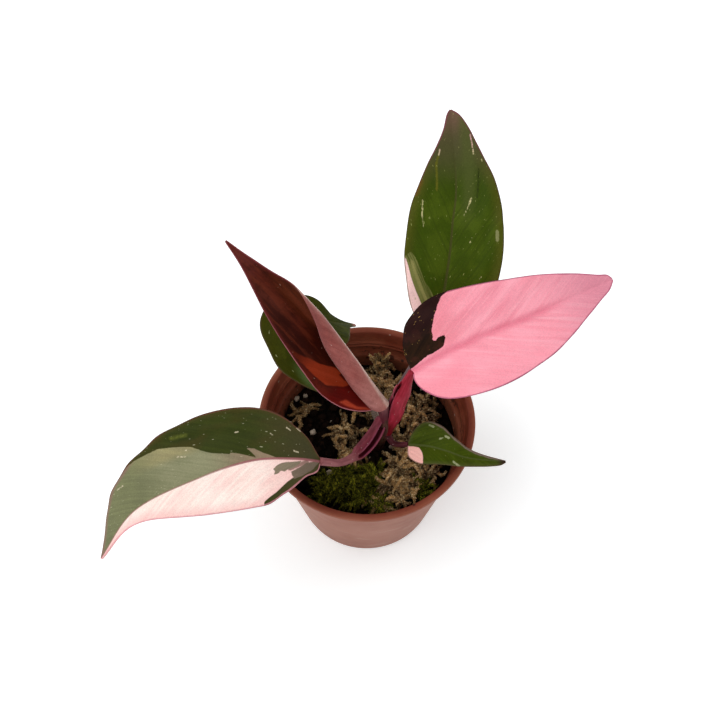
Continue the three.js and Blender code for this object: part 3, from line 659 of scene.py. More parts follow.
class LeafShader(Shader):
    """What all blades share: their coordinates, and marks that follow the side veins."""

    def __init__(self, name, seed, dark, light, length=1.0, **constants):
        super().__init__(name, Specular_IOR_Level=0.05, **constants)
        self.length = length
        self.x, self.y, self.under = self.triple("leaf")
        self.out = self.math("ABSOLUTE", self.y)
        self.edge = self.number("edge")
        layer = self.plus(self.math("LESS_THAN", self.y, 0), 5, seed)
        self.flow = self.join(self.plus(self.out, -BLADE["sweep"], self.x), self.out, layer)
        self.flat = self.join(self.x, self.y, seed)
        self.streaky = self.noise(self.scaled(self.flow, 0.5, 0.05), 1, 4, 0.6)
        self.fine = self.noise(self.scaled(self.flow, 2.2, 0.15), 1, 2, 0.6)
        self.cloud = self.noise(self.flat, 0.09)
        self.grain = self.noise(self.flat, 3.5, 2, 0.7)
        self.paint = self.tones(dark, light)

    def tones(self, dark, light):
        """A colour that wanders between two, in clouds and in streaks along the veins."""
        share = self.plus(self.cloud, 0.45, self.both(self.streaky, 0.55))
        return self.mix(self.fade(share, 0.36, 0.64), dark, light)

    def patch(self, name, ragged=0.35, soft=0.12, teeth=1.0):
        """1 inside the named patch. ragged is how far, in mm, its teeth reach."""
        teeth = self.noise(self.scaled(self.flow, 0.9 * teeth, 0.3 * teeth), 1, 4, 0.75)
        push = self.plus(teeth, 2 * ragged, -ragged)
        return self.fade(self.math("ADD", self.number(name), push), soft, -soft)

    def line(self, name, soft=0.12):
        """1 on the named streaks, which are uneven in width."""
        place = self.plus(self.noise(self.flat, 1.6, 2), 0.5, self.number(name))
        return self.fade(place, 0.25 + soft, 0.25 - soft)

    def flecks(self, density, size):
        """Small marks scattered over the blade, and finer ones among them."""
        few = self.spots(self.scaled(self.flow, 0.42, 0.8), 1, density, size)
        fine = self.spots(self.scaled(self.flow, 0.95, 1.5), 1, density, size * 1.1)
        return self.math("MAXIMUM", few, fine)

    def midrib(self, base, tip):
        """1 on the midrib, whose half width narrows from base to tip."""
        width = self.range(self.math("DIVIDE", self.x, self.length), base, tip)
        return self.fade(self.math("DIVIDE", self.out, width), 1.2, 0.6)

    def margin(self, width):
        wander = self.noise(self.flat, 0.35, 2)
        return self.fade(self.plus(wander, -width, self.edge), width * 0.6, width * 0.1)

    def turn_over(self, dark="#46541f", light="#596632"):
        """Keeps the paint for the upper side. What is laid on next is on the under side."""
        self.upper = self.paint
        self.paint = self.tones(dark, light)

    def blade_skin(self, low, high, grain=0.12):
        self.paint = self.mix(self.fade(self.under, 0.4, 0.6), self.upper, self.paint)
        value = self.range(self.fade(self.grain, 0.25, 0.75), 1 - grain, 1 + grain)
        self.paint = self.node("HueSaturation", {"Value": value, "Color": self.paint}).outputs[0]
        _, cell = self.cells(self.flat, 4.0)
        return self.skin((low, high), self.plus(self.fine, 1.2, self.both(cell, 0.5)), 0.03)


def half_pink_material(length):
    s = LeafShader("leaf_half_pink", 3.0, "#2f3613", "#3a4117", length)
    brown = s.noise(s.scaled(s.flat, 0.05, 0.13))
    s.lay("#3f3b17", 0.85, s.fade(brown, 0.46, 0.62))
    # greyer towards the base: painted sheen
    s.lay("#454129", 0.85, x=(24, 6))
    s.lay("#4c4320", 0.5, edge=(1.8, 0.3))
    s.lay("#6e7430", 0.75, s.line("lime", 0.6))
    outer = s.fade(s.plus(s.x, -0.05, s.out), 4.6, 7.6)
    band = s.mix(outer, s.tones("#7e7f5f", "#8f8e6e"), s.tones("#8e8763", "#9e966b"))
    band = s.mix(s.fade(s.x, 36, 22), band, s.tones("#867560", "#948068"))
    tip = s.mix(s.fade(s.edge, 1.6, 0.5), s.tones("#6f7152", "#7f825c"), "#85705e")
    s.lay(s.mix(s.fade(s.x, 46, 60), band, tip), s.patch("band"))
    pale = s.mix(s.fade(s.x, 26, 6), s.tones("#fde0d6", "#fff4ea"), "#f9cbc4")
    pale = s.mix(s.both(s.fade(s.edge, 4.0, 0.3), 0.6), pale, "#f6bcb8")
    blush = s.noise(s.scaled(s.flow, 0.16, 0.12))
    pale = s.mix(s.both(s.fade(blush, 0.45, 0.75), 0.38), pale, "#f6b9b6")
    pale = s.mix(s.both(s.fade(s.fine, 0.54, 0.7), 0.15), pale, "#eda9ac")
    s.lay(pale, s.patch("pink"))
    s.lay("#98776d", s.line("beige", 0.3))
    s.lay(s.tones("#786e5a", "#8c7f6a"), s.patch("grey_upper"))
    s.lay(s.tones("#6f6152", "#82705f"), s.patch("grey_lower"))
    s.lay("#bcb898", 0.8, s.flecks(0.3, 0.18), y=(0.2, -0.4))
    s.lay("#cdc1a2", 0.9, s.line("cream"))
    s.lay("#9a6062", 0.9, s.midrib(0.42, 0.18), x=(44, 24))
    s.lay("#946a60", 0.7, s.midrib(0.28, 0.18), x=(24, 44))
    s.lay("#dc8f9b", 0.65, s.margin(0.5), y=(-0.3, 0.3))
    s.lay("#6f4038", 0.7, s.margin(0.4), y=(0.2, -0.4))
    s.turn_over("#4b4c30", "#5e5c3e")
    s.lay(s.tones("#77745a", "#8a8468"), 0.8, s.patch("band"))
    s.lay(s.tones("#e0a59f", "#efc2b6"), s.patch("pink"))
    s.lay("#a8606a", 0.7, s.midrib(0.9, 0.3))
    return s.blade_skin(0.42, 0.55)


def back_green_material(length):
    s = LeafShader("leaf_back_green", 7.0, "#344506", "#3f4f0a", length)
    s.lay("#4a5a10", 0.5, cloud=(0.5, 0.66))
    s.lay("#2b3906", 0.45, streaky=(0.5, 0.62))
    s.lay("#545018", 0.55, edge=(4.0, 0.4))
    tip = s.plus(s.cloud, 8, s.x)
    s.lay("#4d4a2b", s.fade(tip, 46, 62))
    s.lay("#6c5242", s.fade(tip, 60, 72))
    s.lay("#6a4a1a", 0.8, s.line("ember", 0.8))
    s.lay("#5d5c18", s.line("lime", 0.25))
    s.lay("#232c07", s.line("dark", 0.2))
    s.lay(s.mix(s.fade(s.streaky, 0.4, 0.55), "#4c5320", "#73743e"), s.patch("sage"))
    s.lay("#8a854e", 0.9, s.line("straw", 0.3))
    s.lay(s.tones("#f0c8c0", "#ffd6d2"), s.patch("pale", 0.25))
    # a lighter band 4 mm right of the midrib on the upper half: painted sheen
    sheen_band_gap = s.math("ABSOLUTE", s.math("ADD", s.y, 4))
    s.lay("#4c5424", 0.6, s.fade(sheen_band_gap, 3, 0.5), x=(30, 44))
    s.lay("#9ea05e", 0.75, s.flecks(0.45, 0.17))
    s.lay(s.mix(s.fade(s.x, 52, 59), "#c3bb86", "#cf9c9c"), 0.9, s.line("cream"))
    s.lay("#7f8052", s.line("blob"))
    s.lay("#454420", 0.8, s.midrib(0.5, 0.2), x=(62, 40))
    s.lay("#7c3a4a", 0.8, s.margin(0.4), x=(34, 56))
    s.lay("#5a4a26", 0.6, s.margin(0.4), x=(56, 34))
    s.turn_over()
    s.lay("#cf9f99", s.patch("pale", 0.25))
    s.lay("#7c6050", 0.8, s.midrib(0.9, 0.3))
    return s.blade_skin(0.42, 0.54)


def pink_material(length):
    s = LeafShader("leaf_pink", 11.0, "#fc9bab", "#ffabba", length)
    s.lay("#ec8798", 0.6, s.fade(s.noise(s.scaled(s.flow, 0.09, 0.06)), 0.46, 0.66))
    s.lay("#ffb6c2", 0.6, s.fade(s.noise(s.scaled(s.flow, 0.3, 0.07)), 0.55, 0.72))
    s.lay("#ea8794", 0.6, x=(26, 14), y=(0.5, 4))
    s.lay("#fb94a4", 0.8, x=(22, 8), y=(-3, -8))
    s.lay("#d9899c", 0.8, x=(40, 64))
    s.lay("#ffbac4", 0.45, fine=(0.52, 0.72))
    # darker along the midrib groove: painted shadow in the groove
    s.lay("#df7086", 0.6, out=(2.2, 0.1), x=(56, 42))
    lobe = s.patch("dark", 0.4, 0.05, 3)
    glow = s.fade(s.noise(s.flat, 0.3), 0.5, 0.66)
    s.lay(s.mix(glow, s.tones("#1b0f08", "#2d1b0e"), "#361c12"), lobe)
    s.lay("#2b1216", 0.6, lobe, y=(6, 11))
    s.lay("#b08a4c", 0.9, lobe, s.flecks(0.5, 0.2))
    s.lay("#b8607c", 0.8, s.margin(0.45), s.math("SUBTRACT", 1.0, lobe))
    s.turn_over("#dd8796", "#ec9fa9")
    s.lay(s.tones("#4a2a28", "#5d3834"), s.patch("dark"))
    s.lay("#c0506a", 0.6, s.midrib(0.9, 0.3))
    return s.blade_skin(0.45, 0.58, 0.09)


def rolled_material(length):
    s = LeafShader("leaf_rolled", 17.0, "#40130a", "#521c11", length, Sheen_Weight=0.1,
                   Sheen_Roughness=0.4, Sheen_Tint=(1, 0.72, 0.62, 1))
    s.lay("#451708", 0.9, y=(1, -1))
    # darkest across the middle of the blade: painted shade under the rolled-over half
    s.lay("#350a02", 0.85, x=(14, 20, 40, 30))
    s.lay("#5a180f", 0.85, y=(9, 11.5), x=(36, 28))
    # mauve-brown sheen on the upper left: painted sheen
    s.lay("#55291f", 0.6, x=(34, 46), y=(1, 5))
    s.lay("#602b29", 0.8, x=(54, 66))
    s.lay("#280803", 0.45, s.fade(s.noise(s.flat, 0.16, 5, 0.7), 0.5, 0.6))
    s.lay(s.tones("#4a0502", "#5e0a05"), x=(19, 14))
    s.lay("#672120", x=(6, 1))
    s.lay(s.tones("#84290f", "#93331a"), s.patch("orange", 0.5, 0.25))
    s.lay(s.tones("#9a331e", "#a83d26"), s.patch("ember", 0.3, 0.4))
    s.lay("#2c0b06", 0.75, x=(24, 32, 58, 44), y=(3.5, 6))
    s.lay("#55240f", 0.6, x=(30, 38, 56, 46), y=(3, 0))
    grain = s.noise(s.scaled(s.flat, 0.05, 0.42), 1, 4, 0.65)
    s.lay("#6a2c1a", 0.4, s.fade(grain, 0.48, 0.6), x=(20, 34))
    s.lay("#2c0c06", 0.4, s.fade(grain, 0.46, 0.36), x=(20, 34))
    s.lay("#561c1a", 0.6, edge=(1.2, 0.4), x=(24, 34))
    s.lay("#b08e7e", 0.7, s.flecks(0.14, 0.13))
    s.lay(s.mix(s.fade(s.x, 46, 32), "#8a4a50", "#b87078"), 0.7, s.margin(0.3))
    s.turn_over("#884641", "#a05e58")
    s.lay("#7d4744", 0.4, fine=(0.5, 0.68))
    s.lay("#a87670", 0.5, x=(18, 4))
    s.lay("#7a4645", 0.6, y=(0, 0.6))
    s.lay("#7a4340", 0.7, edge=(2.2, 0.6), y=(0, -0.6))
    turn = s.plus(s.x, -0.06, s.out)
    s.lay("#ab6e66", 0.75, s.fade(turn, 7.5, 4.0), y=(1.0, -0.6))
    # a pale line along the fold's edge: painted rim highlight
    s.lay("#dcc0b2", 0.8, s.fade(turn, 4.8, 3.6), y=(1.0, -0.6), x=(66, 40))
    s.lay("#7a4644", 0.35, s.fade(s.noise(s.flat, 0.5, 4, 0.7), 0.48, 0.62))
    s.lay("#d9bdb6", 0.6, s.flecks(0.2, 0.13))
    s.lay("#a87068", 0.4, s.midrib(0.8, 0.3))
    return s.blade_skin(0.36, 0.48)


def low_green_material(length):
    s = LeafShader("leaf_low_green", 23.0, "#2b3102", "#373d08", length)
    s.lay("#43480a", 0.6, s.fade(s.noise(s.flat, 0.2), 0.52, 0.66))
    # lighter grey-green near the base of the right half: painted gloss highlight
    s.lay("#55603c", 0.6, x=(4, 10, 22, 14), y=(-1, -5))
    s.lay("#353500", 0.7, y=(0, 8))
    s.lay("#3f4220", 0.6, x=(22, 8), y=(-1, -7))
    # lighter green at the base by the midrib: painted gloss highlight
    s.lay("#536a3c", 0.7, x=(16, 8), y=(4, 1))
    s.lay("#8b8c56", 0.7, s.flecks(0.12, 0.15))
    s.lay("#a5a878", 0.8, s.line("cream"))
    s.lay("#4a4a24", 0.6, s.midrib(0.4, 0.2))
    s.lay("#4c3e26", 0.8, s.margin(0.4))
    s.lay("#b57f78", 0.8, x=(46.4, 48.7))
    s.turn_over()
    s.lay("#7c6050", 0.7, s.midrib(0.8, 0.3))
    return s.blade_skin(0.42, 0.52)


def small_material(length):
    s = LeafShader("leaf_small", 29.0, "#2c3800", "#3e4d08", length)
    s.lay("#4a5a10", 0.6, s.fade(s.noise(s.scaled(s.flow, 0.45, 0.2)), 0.52, 0.68))
    s.lay("#4c5226", 0.5, edge=(1.6, 0.3))
    s.lay(s.tones("#eaaea4", "#f7c2b8"), s.patch("pink", 0.3))
    s.lay("#a9b086", 0.75, s.line("cream"))
    s.lay("#9aa068", 0.7, s.flecks(0.2, 0.15))
    s.lay("#525a32", 0.5, s.midrib(0.4, 0.2))
    s.lay("#2f2016", x=(28.5, 31.5))
    s.lay("#84706a", 0.7, s.margin(0.7), y=(0, 0.6), x=(4, 8))
    s.lay("#5f4a3a", 0.6, s.margin(0.3))
    s.turn_over()
    s.lay("#cf9088", s.patch("pink", 0.3))
    s.lay("#7c6050", 0.7, s.midrib(0.8, 0.3))
    return s.blade_skin(0.42, 0.52)


LEAF_MATERIALS = {
    "half_pink": (half_pink_material, "blade_half_pink"),
    "rolled": (rolled_material, "blade_maroon"),
    "low_green": (low_green_material, "blade_green"),
    "back_green": (back_green_material, "blade_green"),
    "pink": (pink_material, "blade_pink"),
    "small": (small_material, "blade_green"),
}

# ---------------------------------------------------------------- stalk materials

# A stalk's look: its skin where it starts, its skin further on, how far on (mm) that is,
# the inside of its trough, and the thin edge of the trough's wings.
STALK_LOOKS = {
    "half_pink": ("#62222e", "#7f3642", "#7a4347", "#93595a", 21, "#6a1424", "#9a4860"),
    "rolled": ("#46141d", "#5c222b", "#5e2f36", "#744648", 6, "#300a10", "#8a4a58"),
    "low_green": ("#42202a", "#5a343a", "#523438", "#664646", 12, "#2a1014", "#7a5258"),
    "back_green": ("#4c3038", "#664a4c", "#5c4448", "#735a5a", 14, "#2c141c", "#8a6a70"),
    "pink": ("#600610", "#7a101e", "#7c0f20", "#9c2236", 10, "#4e0711", "#ad4659"),
    "small": ("#360a10", "#4e161e", "#40141a", "#58222a", 8, "#2a0a10", "#8a5058"),
    # the stem is near black for its first 26 mm: partly dark bark, partly painted shade low in the plant
    "stem": ("#1d0806", "#341510", "#3a1c16", "#5a3a30", 26, "#2a0a10", "#5a3a30"),
}


def stalk_material(name):
    """A petiole's skin: fine streaks along it, its trough, the trough's edges, white dots."""
    dark, light, far_dark, far_light, turn, inner, edge = STALK_LOOKS[name]
    s = Shader("stalk_" + name, Specular_IOR_Level=0.16)
    reach, height, inside = s.triple("stalk")
    place = s.place()
    grain = s.noise(s.join(s.both(reach, 0.15), s.both(height, 3.0), 0))
    mottle = s.noise(place, 900)
    far = s.fade(reach, turn - 4, turn + 4)
    darker = s.mix(far, dark, far_dark)
    s.paint = s.mix(s.fade(grain, 0.35, 0.65), darker, s.mix(far, light, far_light))
    s.lay(darker, 0.4, s.fade(mottle, 0.45, 0.65))
    s.lay(s.mix(s.fade(mottle, 0.4, 0.65), inner, dark), 0.92, s.fade(inside, 0.1, 0.45))
    s.lay(edge, 0.75, s.fade(s.number("rim"), 0.45, 0.85))
    s.lay("#b9a09c", 0.6, s.spots(place, 1100, 0.16, 0.26))
    return s.skin((0.42, 0.58), s.plus(mottle, 0.4, grain), 0.1)


def sheath_material():
    """The dry, half clear film of a leaf's old sheath."""
    s = LeafShader("dry_sheath", 31.0, "#54443c", "#7c6c60", Alpha=0.7)
    s.lay("#3e3029", 0.6, fine=(0.5, 0.66))
    s.lay("#b7a89c", 0.7, edge=(0.5, 0.15))
    s.turn_over("#54443c", "#7c6c60")
    return s.blade_skin(0.45, 0.6)


def ligule_material():
    """The small curled tongue at the end of the pink leaf's sheath."""
    s = LeafShader("stalk_pink_tip", 37.0, "#5a0a14", "#74101f")
    s.lay("#d07a86", 0.85, edge=(0.4, 0.1))
    s.turn_over("#862030", "#a33442")
    return s.blade_skin(0.42, 0.58)


# ---------------------------------------------------------------- pot and mix


def outer_radius(z):
    rise = (POT["rim_radius"] - POT["lip_overhang"] - POT["base_radius"]) / POT["height"]
    return POT["base_radius"] + rise * z


def inner_radius(z):
    return outer_radius(z) - POT["lower_wall"]


def mix_top(x, y):
    lumps = 0.45 * np.sin(0.9 * x + 1) * np.sin(0.8 * y) + 0.3 * np.sin(1.7 * x - 0.6 * y)
    heaps = sum(height * np.exp(-((x - hx) ** 2 + (y - hy) ** 2) / radius ** 2)
                for hx, hy, radius, height in MIX_HEAPS)
    return MIX_LEVEL + lumps + heaps


def circle(count):
    turns = 2 * np.pi * np.arange(count) / count
    return np.stack([np.cos(turns), np.sin(turns)], -1).tolist()


def arc(r, z, radius, start, end, count=5):
    """Points of a round corner in the pot's profile. Angles are in degrees."""
    turns = np.radians(np.linspace(start, end, count + 1))
    return [(r + radius * math.cos(a), z + radius * math.sin(a)) for a in turns]


def pot_profile():
    """The pot's wall from the middle of its base, up the outside, and down the inside."""
    height, rim, base, floor = (POT[key] for key in ("height", "rim_radius", "base_radius", "floor"))
    lip_width, r, wall, chamfer = (POT[key] for key in ("lip_width", "rounding", "band_wall", "chamfer"))
    lip = height - POT["lip_height"]
    step = height - POT["band_height"]
    slope = step - POT["step_slope"]
    ridges = [(POT["ridge_height"] + up, depth) for up, depth in POT_RIDGES]
    band = [(height - 2, 0), (height - 3.5, 0), *ridges, (step + 2, 0), (step, 0)]
    return [
        *[(radius, POT["recess"]) for radius in (0, 18, base - 2.6)],
        (base - 2.1, 0),
        *arc(base - chamfer, chamfer, chamfer, -90, -8),
        *[(outer_radius(z), z) for z in np.linspace(2.5, lip - 0.7, 9)],
        (outer_radius(lip) + 0.05, lip - 0.1),
        *arc(rim - r, lip + r, r, -70, 0),
        *arc(rim - r, height - r, r, 0, 90),
        (rim - lip_width + 0.3, height),
        (rim - lip_width, height - 0.08),
        (outer_radius(height) - wall, height - r),
        *[(outer_radius(z) - wall - depth, z) for z, depth in band],
        (inner_radius(step) + 0.22, step - 0.05),
        (inner_radius(slope), slope),
        *[(inner_radius(z), z) for z in np.linspace(slope - 1, floor + 1, 8)],
        *arc(inner_radius(floor) - 0.8, floor + 0.8, 0.8, 0, -90, 3),
        (12, floor),
        (0, floor),
    ]


def pot_mesh():
    """A lathe of the profile, with the drain holes cut out of its floor."""
    profile = pot_profile()
    points = [(0, 0, profile[0][1])]
    for r, z in profile[1:-1]:
        points += [(r * c, r * s, z) for c, s in circle(POT_SECTORS)]
    points.append((0, 0, profile[-1][1]))
    pot = make_object("pot_shell", points, tube_faces(len(profile) - 2, POT_SECTORS, 1), {})
    cutters = []
    for c, s in circle(POT["holes"]):
        reach = POT["hole_circle"] * MM
        bpy.ops.mesh.primitive_cylinder_add(vertices=32, radius=POT["hole_radius"] * MM,
                                            depth=8 * MM, location=(reach * c, reach * s, 0))
        cutters.append(bpy.context.object)
        cut = pot.modifiers.new("cut", "BOOLEAN")
        cut.operation, cut.solver, cut.object = "DIFFERENCE", "EXACT", cutters[-1]
    bpy.context.view_layer.update()
    depsgraph = bpy.context.evaluated_depsgraph_get()
    cut_mesh = bpy.data.meshes.new_from_object(pot.evaluated_get(depsgraph))
    pot.modifiers.clear()
    pot.data = cut_mesh
    for cutter in cutters:
        bpy.data.objects.remove(cutter)
    mark_pot(cut_mesh)
    return pot


def mark_pot(mesh):
    """Marks where each point is: inside the pot, on its lip, and how high."""
    place = np.zeros(len(mesh.vertices) * 3)
    mesh.vertices.foreach_get("co", place)
    x, y, z = (place.reshape(-1, 3) / MM).T
    middle = np.where(z > POT["height"] - 0.3, POT["rim_radius"] - 0.9,
                      outer_radius(z) - POT["band_wall"] / 2)
    inside = np.where((np.hypot(x, y) < middle) & (z > 0.7), 1.0, 0.0)
    lip = fade(z, POT["height"] - POT["lip_height"] - 0.3, POT["height"] - POT["lip_height"])
    add_attribute(mesh, "pot", np.stack([inside, lip, z], -1))
    mesh.shade_smooth()
    for polygon in mesh.polygons:
        if len(polygon.vertices) > 4 or abs(polygon.normal.z) > 0.999:
            polygon.use_smooth = False


def pot_material():
    s = Shader("pot_plastic", Specular_IOR_Level=0.15)
    inside, lip, s.height = s.triple("pot")
    place = s.place()
    cloud = s.noise(place, 60, 4, 0.6)
    rings = s.noise(s.scaled(place, 14, 14, 130))
    s.paint = s.mix(s.fade(cloud, 0.35, 0.65), "#82432e", "#8e4e39")
    # lighter, greyer outer wall: partly dust, partly painted sheen of the wall seen at a slant
    dust_and_sheen = s.fade(s.plus(cloud, 0.7, s.both(rings, 0.3)), 0.3, 0.7)
    outside = s.both(s.math("SUBTRACT", 1.0, inside), s.range(lip, 1.0, 0.15))
    s.lay("#a07262", outside, s.range(dust_and_sheen, 0.35, 0.75))
    scuffs = s.noise(s.scaled(place, 70, 70, 260), 1, 5, 0.7)
    s.lay("#b09488", 0.3, s.fade(scuffs, 0.54, 0.7))
    # lighter on the outer wall's left side: painted light falling from the left
    s.lay("#b98f80", 0.5, outside, s.fade(s.split(place)[0], -0.012, -0.032))
    # darker and redder inside: partly damp plastic, partly painted shade of the pot's hollow
    s.lay(s.mix(s.fade(cloud, 0.4, 0.6), "#70301e", "#854630"), 0.85, inside)
    s.lay("#573523", 0.6, inside, height=(45, 39))
    s.lay("#6b3022", 0.5, inside, height=(50, 52.3))
    crusts = s.noise(place, 260, 4, 0.7)
    s.lay("#2a1710", 0.75, inside, s.fade(crusts, 0.56, 0.62), height=(51, 43))
    s.lay("#1f0f0a", 0.85, inside, s.spots(place, 420, 0.2, 0.36))
    s.lay("#a3867a", 0.8, inside, s.spots(s.scaled(place, 1, 1, 1.3), 520, 0.1, 0.34))
    return s.skin((0.45, 0.62), s.plus(s.noise(place, 1400), 0.4, rings), 0.05)


def mix_mesh():
    """The potting mix: crumbly on top, and filling the pot to its floor."""
    bottom, edge = POT["floor"] + MIX_GAP, MIX_LEVEL - 0.5
    low_radius = inner_radius(bottom) - MIX_GAP
    top_radius = inner_radius(MIX_LEVEL) - MIX_GAP
    points = [(0, 0, float(mix_top(0, 0)))]
    for ring in range(1, MIX_RINGS + 1):
        settle = fade(ring / MIX_RINGS, 0.8, 1)
        for c, s in circle(MIX_SECTORS):
            x, y = (part * top_radius * ring / MIX_RINGS for part in (c, s))
            rough = noise.fractal(Vector((x * 0.45, y * 0.45, 1)), 0.8, 2.1, 5)
            z = float(mix_top(x, y)) + 0.9 * rough
            points.append((x, y, z + (edge - z) * settle))
    for level in np.linspace(MIX_LEVEL - 1.5, bottom, MIX_LEVELS):
        radius = np.interp(level, (bottom, edge), (low_radius, top_radius))
        points += [(c * radius, s * radius, level) for c, s in circle(MIX_SECTORS)]
    points.append((0, 0, bottom))
    return make_object("peat", points, tube_faces(MIX_RINGS + MIX_LEVELS, MIX_SECTORS, 1), {})


def mix_material():
    s = Shader("peat", Specular_IOR_Level=0.03)
    place = s.place()
    clods = s.noise(place, 320, 5, 0.7)
    s.paint = s.mix(s.fade(clods, 0.4, 0.7), "#030201", "#130b07")
    fibre = s.noise(s.scaled(place, 900, 260, 500))
    s.lay("#2c1c12", 0.6, s.fade(fibre, 0.62, 0.74))
    return s.skin((0.8, 1.0), clods, 0.8)


# ---------------------------------------------------------------- moss, grains and roots


class Heap:
    """Gathers many small closed shapes into one mesh. Each has a tint of its own, and each
    point has its height over the mix."""

    def __init__(self):
        self.points, self.faces, self.tints, self.count = [], [], [], 0

    def add(self, points, faces, tint, tips=0.0):
        points = np.asarray(points, float)
        self.points.append(points)
        self.faces += [tuple(self.count + v for v in face) for face in faces]
        rise = points[:, 2] - mix_top(points[:, 0], points[:, 1])
        self.tints += [(tint, tips, r) for r in rise]
        self.count += len(points)

    def build(self, name):
        return make_object(name, np.vstack(self.points), self.faces, {"tint": self.tints})


CORE_SIDES = 5
# a moss leaf: its foot, its left, right and middle, and its tip
MOSS_LEAF_FACES = [(0, 1, 3), (0, 3, 2), (0, 2, 1), (1, 4, 3), (3, 4, 2), (2, 4, 1)]
LEAF_TURN = 2.399      # from one leaf of a strand to the next, in radians


def strand(heap, path, rng, radius, leaf_length, leaf_width, per_mm, spread):
    """A moss strand: a thin core with small pointed leaves that stand off it all round."""
    curve = Curve(path, samples=16)
    steps = max(4, int(curve.length / 0.9))
    tint = rng.random()
    shares = np.linspace(0, 1, steps + 1)
    core = []
    for share, (centre, _, side, up) in zip(shares, curve.frames(shares)):
        size = radius * (0.5 + 0.5 * math.sin(math.pi * (0.15 + 0.8 * share)))
        core += [centre + size * (c * side + s * up) for c, s in circle(CORE_SIDES)]
    heap.add(core, tube_faces(steps + 1, CORE_SIDES), tint, 0.2)
    count = int(curve.length * per_mm)
    shares = (np.arange(count) + 0.5) / count
    for i, (centre, lead, side, up) in enumerate(curve.frames(shares)):
        angle = LEAF_TURN * i + rng.uniform(-0.4, 0.4)
        out = math.cos(angle) * side + math.sin(angle) * up
        across = np.cross(lead, out)
        tilt = math.radians(spread * rng.uniform(0.7, 1.3))
        lead = math.cos(tilt) * lead + math.sin(tilt) * out
        swell = 0.6 + 0.4 * math.sin(math.pi * min(1, 0.25 + shares[i]))
        length = leaf_length * swell * rng.uniform(0.7, 1.2)
        half = leaf_width * swell * rng.uniform(0.7, 1.2) / 2
        foot = centre + radius * 0.35 * out
        back = unit(np.cross(across, lead))
        middle = foot + 0.45 * length * lead
        heap.add([foot, middle + half * across, middle - half * across,
                  middle + 0.45 * half * back, foot + length * lead - 0.15 * length * back],
                 MOSS_LEAF_FACES, tint, rng.uniform(0.3, 1))


def wandering_path(x, y, length, lift, rng, standing):
    """A strand's route over the mix: it arches and comes down again, or ends standing up."""
    heading = rng.uniform(0, 2 * math.pi)
    stands = rng.random() < standing
    reach = length / 5 * (0.45 if stands else 1)
    path = []
    for k in range(6):
        over = max(1, math.hypot(x, y) / (inner_radius(MIX_LEVEL) - 0.8))
        x, y = x / over, y / over
        rise = math.sin(math.pi * (0.05 + 0.09 * k if stands else 0.1 + 0.16 * k))
        path.append((x, y, float(mix_top(x, y)) + 0.4 + lift * rise))
        heading += rng.uniform(-0.6, 0.6)
        x += reach * math.cos(heading)
        y += reach * math.sin(heading)
    return path


def scattered(rng, limit):
    """A random point within a radius, and its distance from the middle."""
    angle, far = rng.uniform(0, 2 * math.pi), limit * math.sqrt(rng.random())
    return far * math.cos(angle), far * math.sin(angle), far


def clump(name, spots, length, rng, **look):
    """A clump of strands heaped on the spots: centre x, y, reach, height, count."""
    heap = Heap()
    for sx, sy, reach, height, count in spots:
        for _ in range(count):
            x, y, far = scattered(rng, reach)
            lift = height * (1 - 0.6 * far / reach) * rng.uniform(0.15, 1)
            path = wandering_path(sx + x, sy + y, length * rng.uniform(0.6, 1.3), lift, rng,
                                  height / 14)
            strand(heap, path, rng, **look)
    return heap.build(name)


SPHAGNUM_LOOK = {"radius": 0.55, "leaf_length": 1.15, "leaf_width": 0.85, "per_mm": 10, "spread": 40}
GREEN_LOOK = {"radius": 0.2, "leaf_length": 1.2, "leaf_width": 0.5, "per_mm": 11, "spread": 48}

# where each kind of moss lies: centre x, y, reach, height and number of strands
SPHAGNUM = {
    "sphagnum_back": [(5.4, 26.5, 2.6, 16, 44), (4.6, 21, 4, 8, 50), (8, 14, 5, 4, 35),
                      (0, 12, 4, 3, 20)],
    "sphagnum_left": [(-22, 9, 3, 1.2, 12), (-5.5, 1.5, 4.5, 4, 40), (-5, -6, 4, 4, 26),
                      (-22, -8, 2.5, 2, 10)],
    "sphagnum_right": [(14.3, 6.7, 5.5, 5, 65), (14, -4, 4.5, 3, 30), (10.5, -11.5, 3.5, 8.5, 55),
                       (11.5, -18, 5, 7, 70), (18, -13, 4, 4, 30), (20, 13, 4, 2, 14),
                       (4, -25, 3, 2, 14)],
}
GREEN_MOSS = [(-3.8, -19.4, 5, 4, 90), (-11.9, -17.2, 5, 3, 80), (2.6, -22.9, 4, 3, 60),
              (-8, -12, 4, 2.5, 50), (3, -14, 4, 3, 50), (-15, -22, 3, 2, 24), (17.2, -18, 3, 3.5, 36)]


def moss_material(name, dark, light, tip):
    s = Shader(name, Specular_IOR_Level=0.06)
    tint, tips, rise = s.triple("tint")
    cloud = s.noise(s.place(), 380)
    share = s.plus(tint, 0.75, s.both(cloud, 0.35))
    s.paint = s.mix(s.fade(share, 0.15, 0.95), dark, light)
    s.lay(tip, 0.7, s.fade(tips, 0.4, 1.0), s.range(tint, 0.25, 1.0))
    # darker as it comes down to the mix from 3.2 mm over it: painted shade among the strands
    s.lay(dark, 0.75, s.fade(rise, 3.2, 0.4))
    return s.skin((0.75, 0.95), cloud, 0.1)


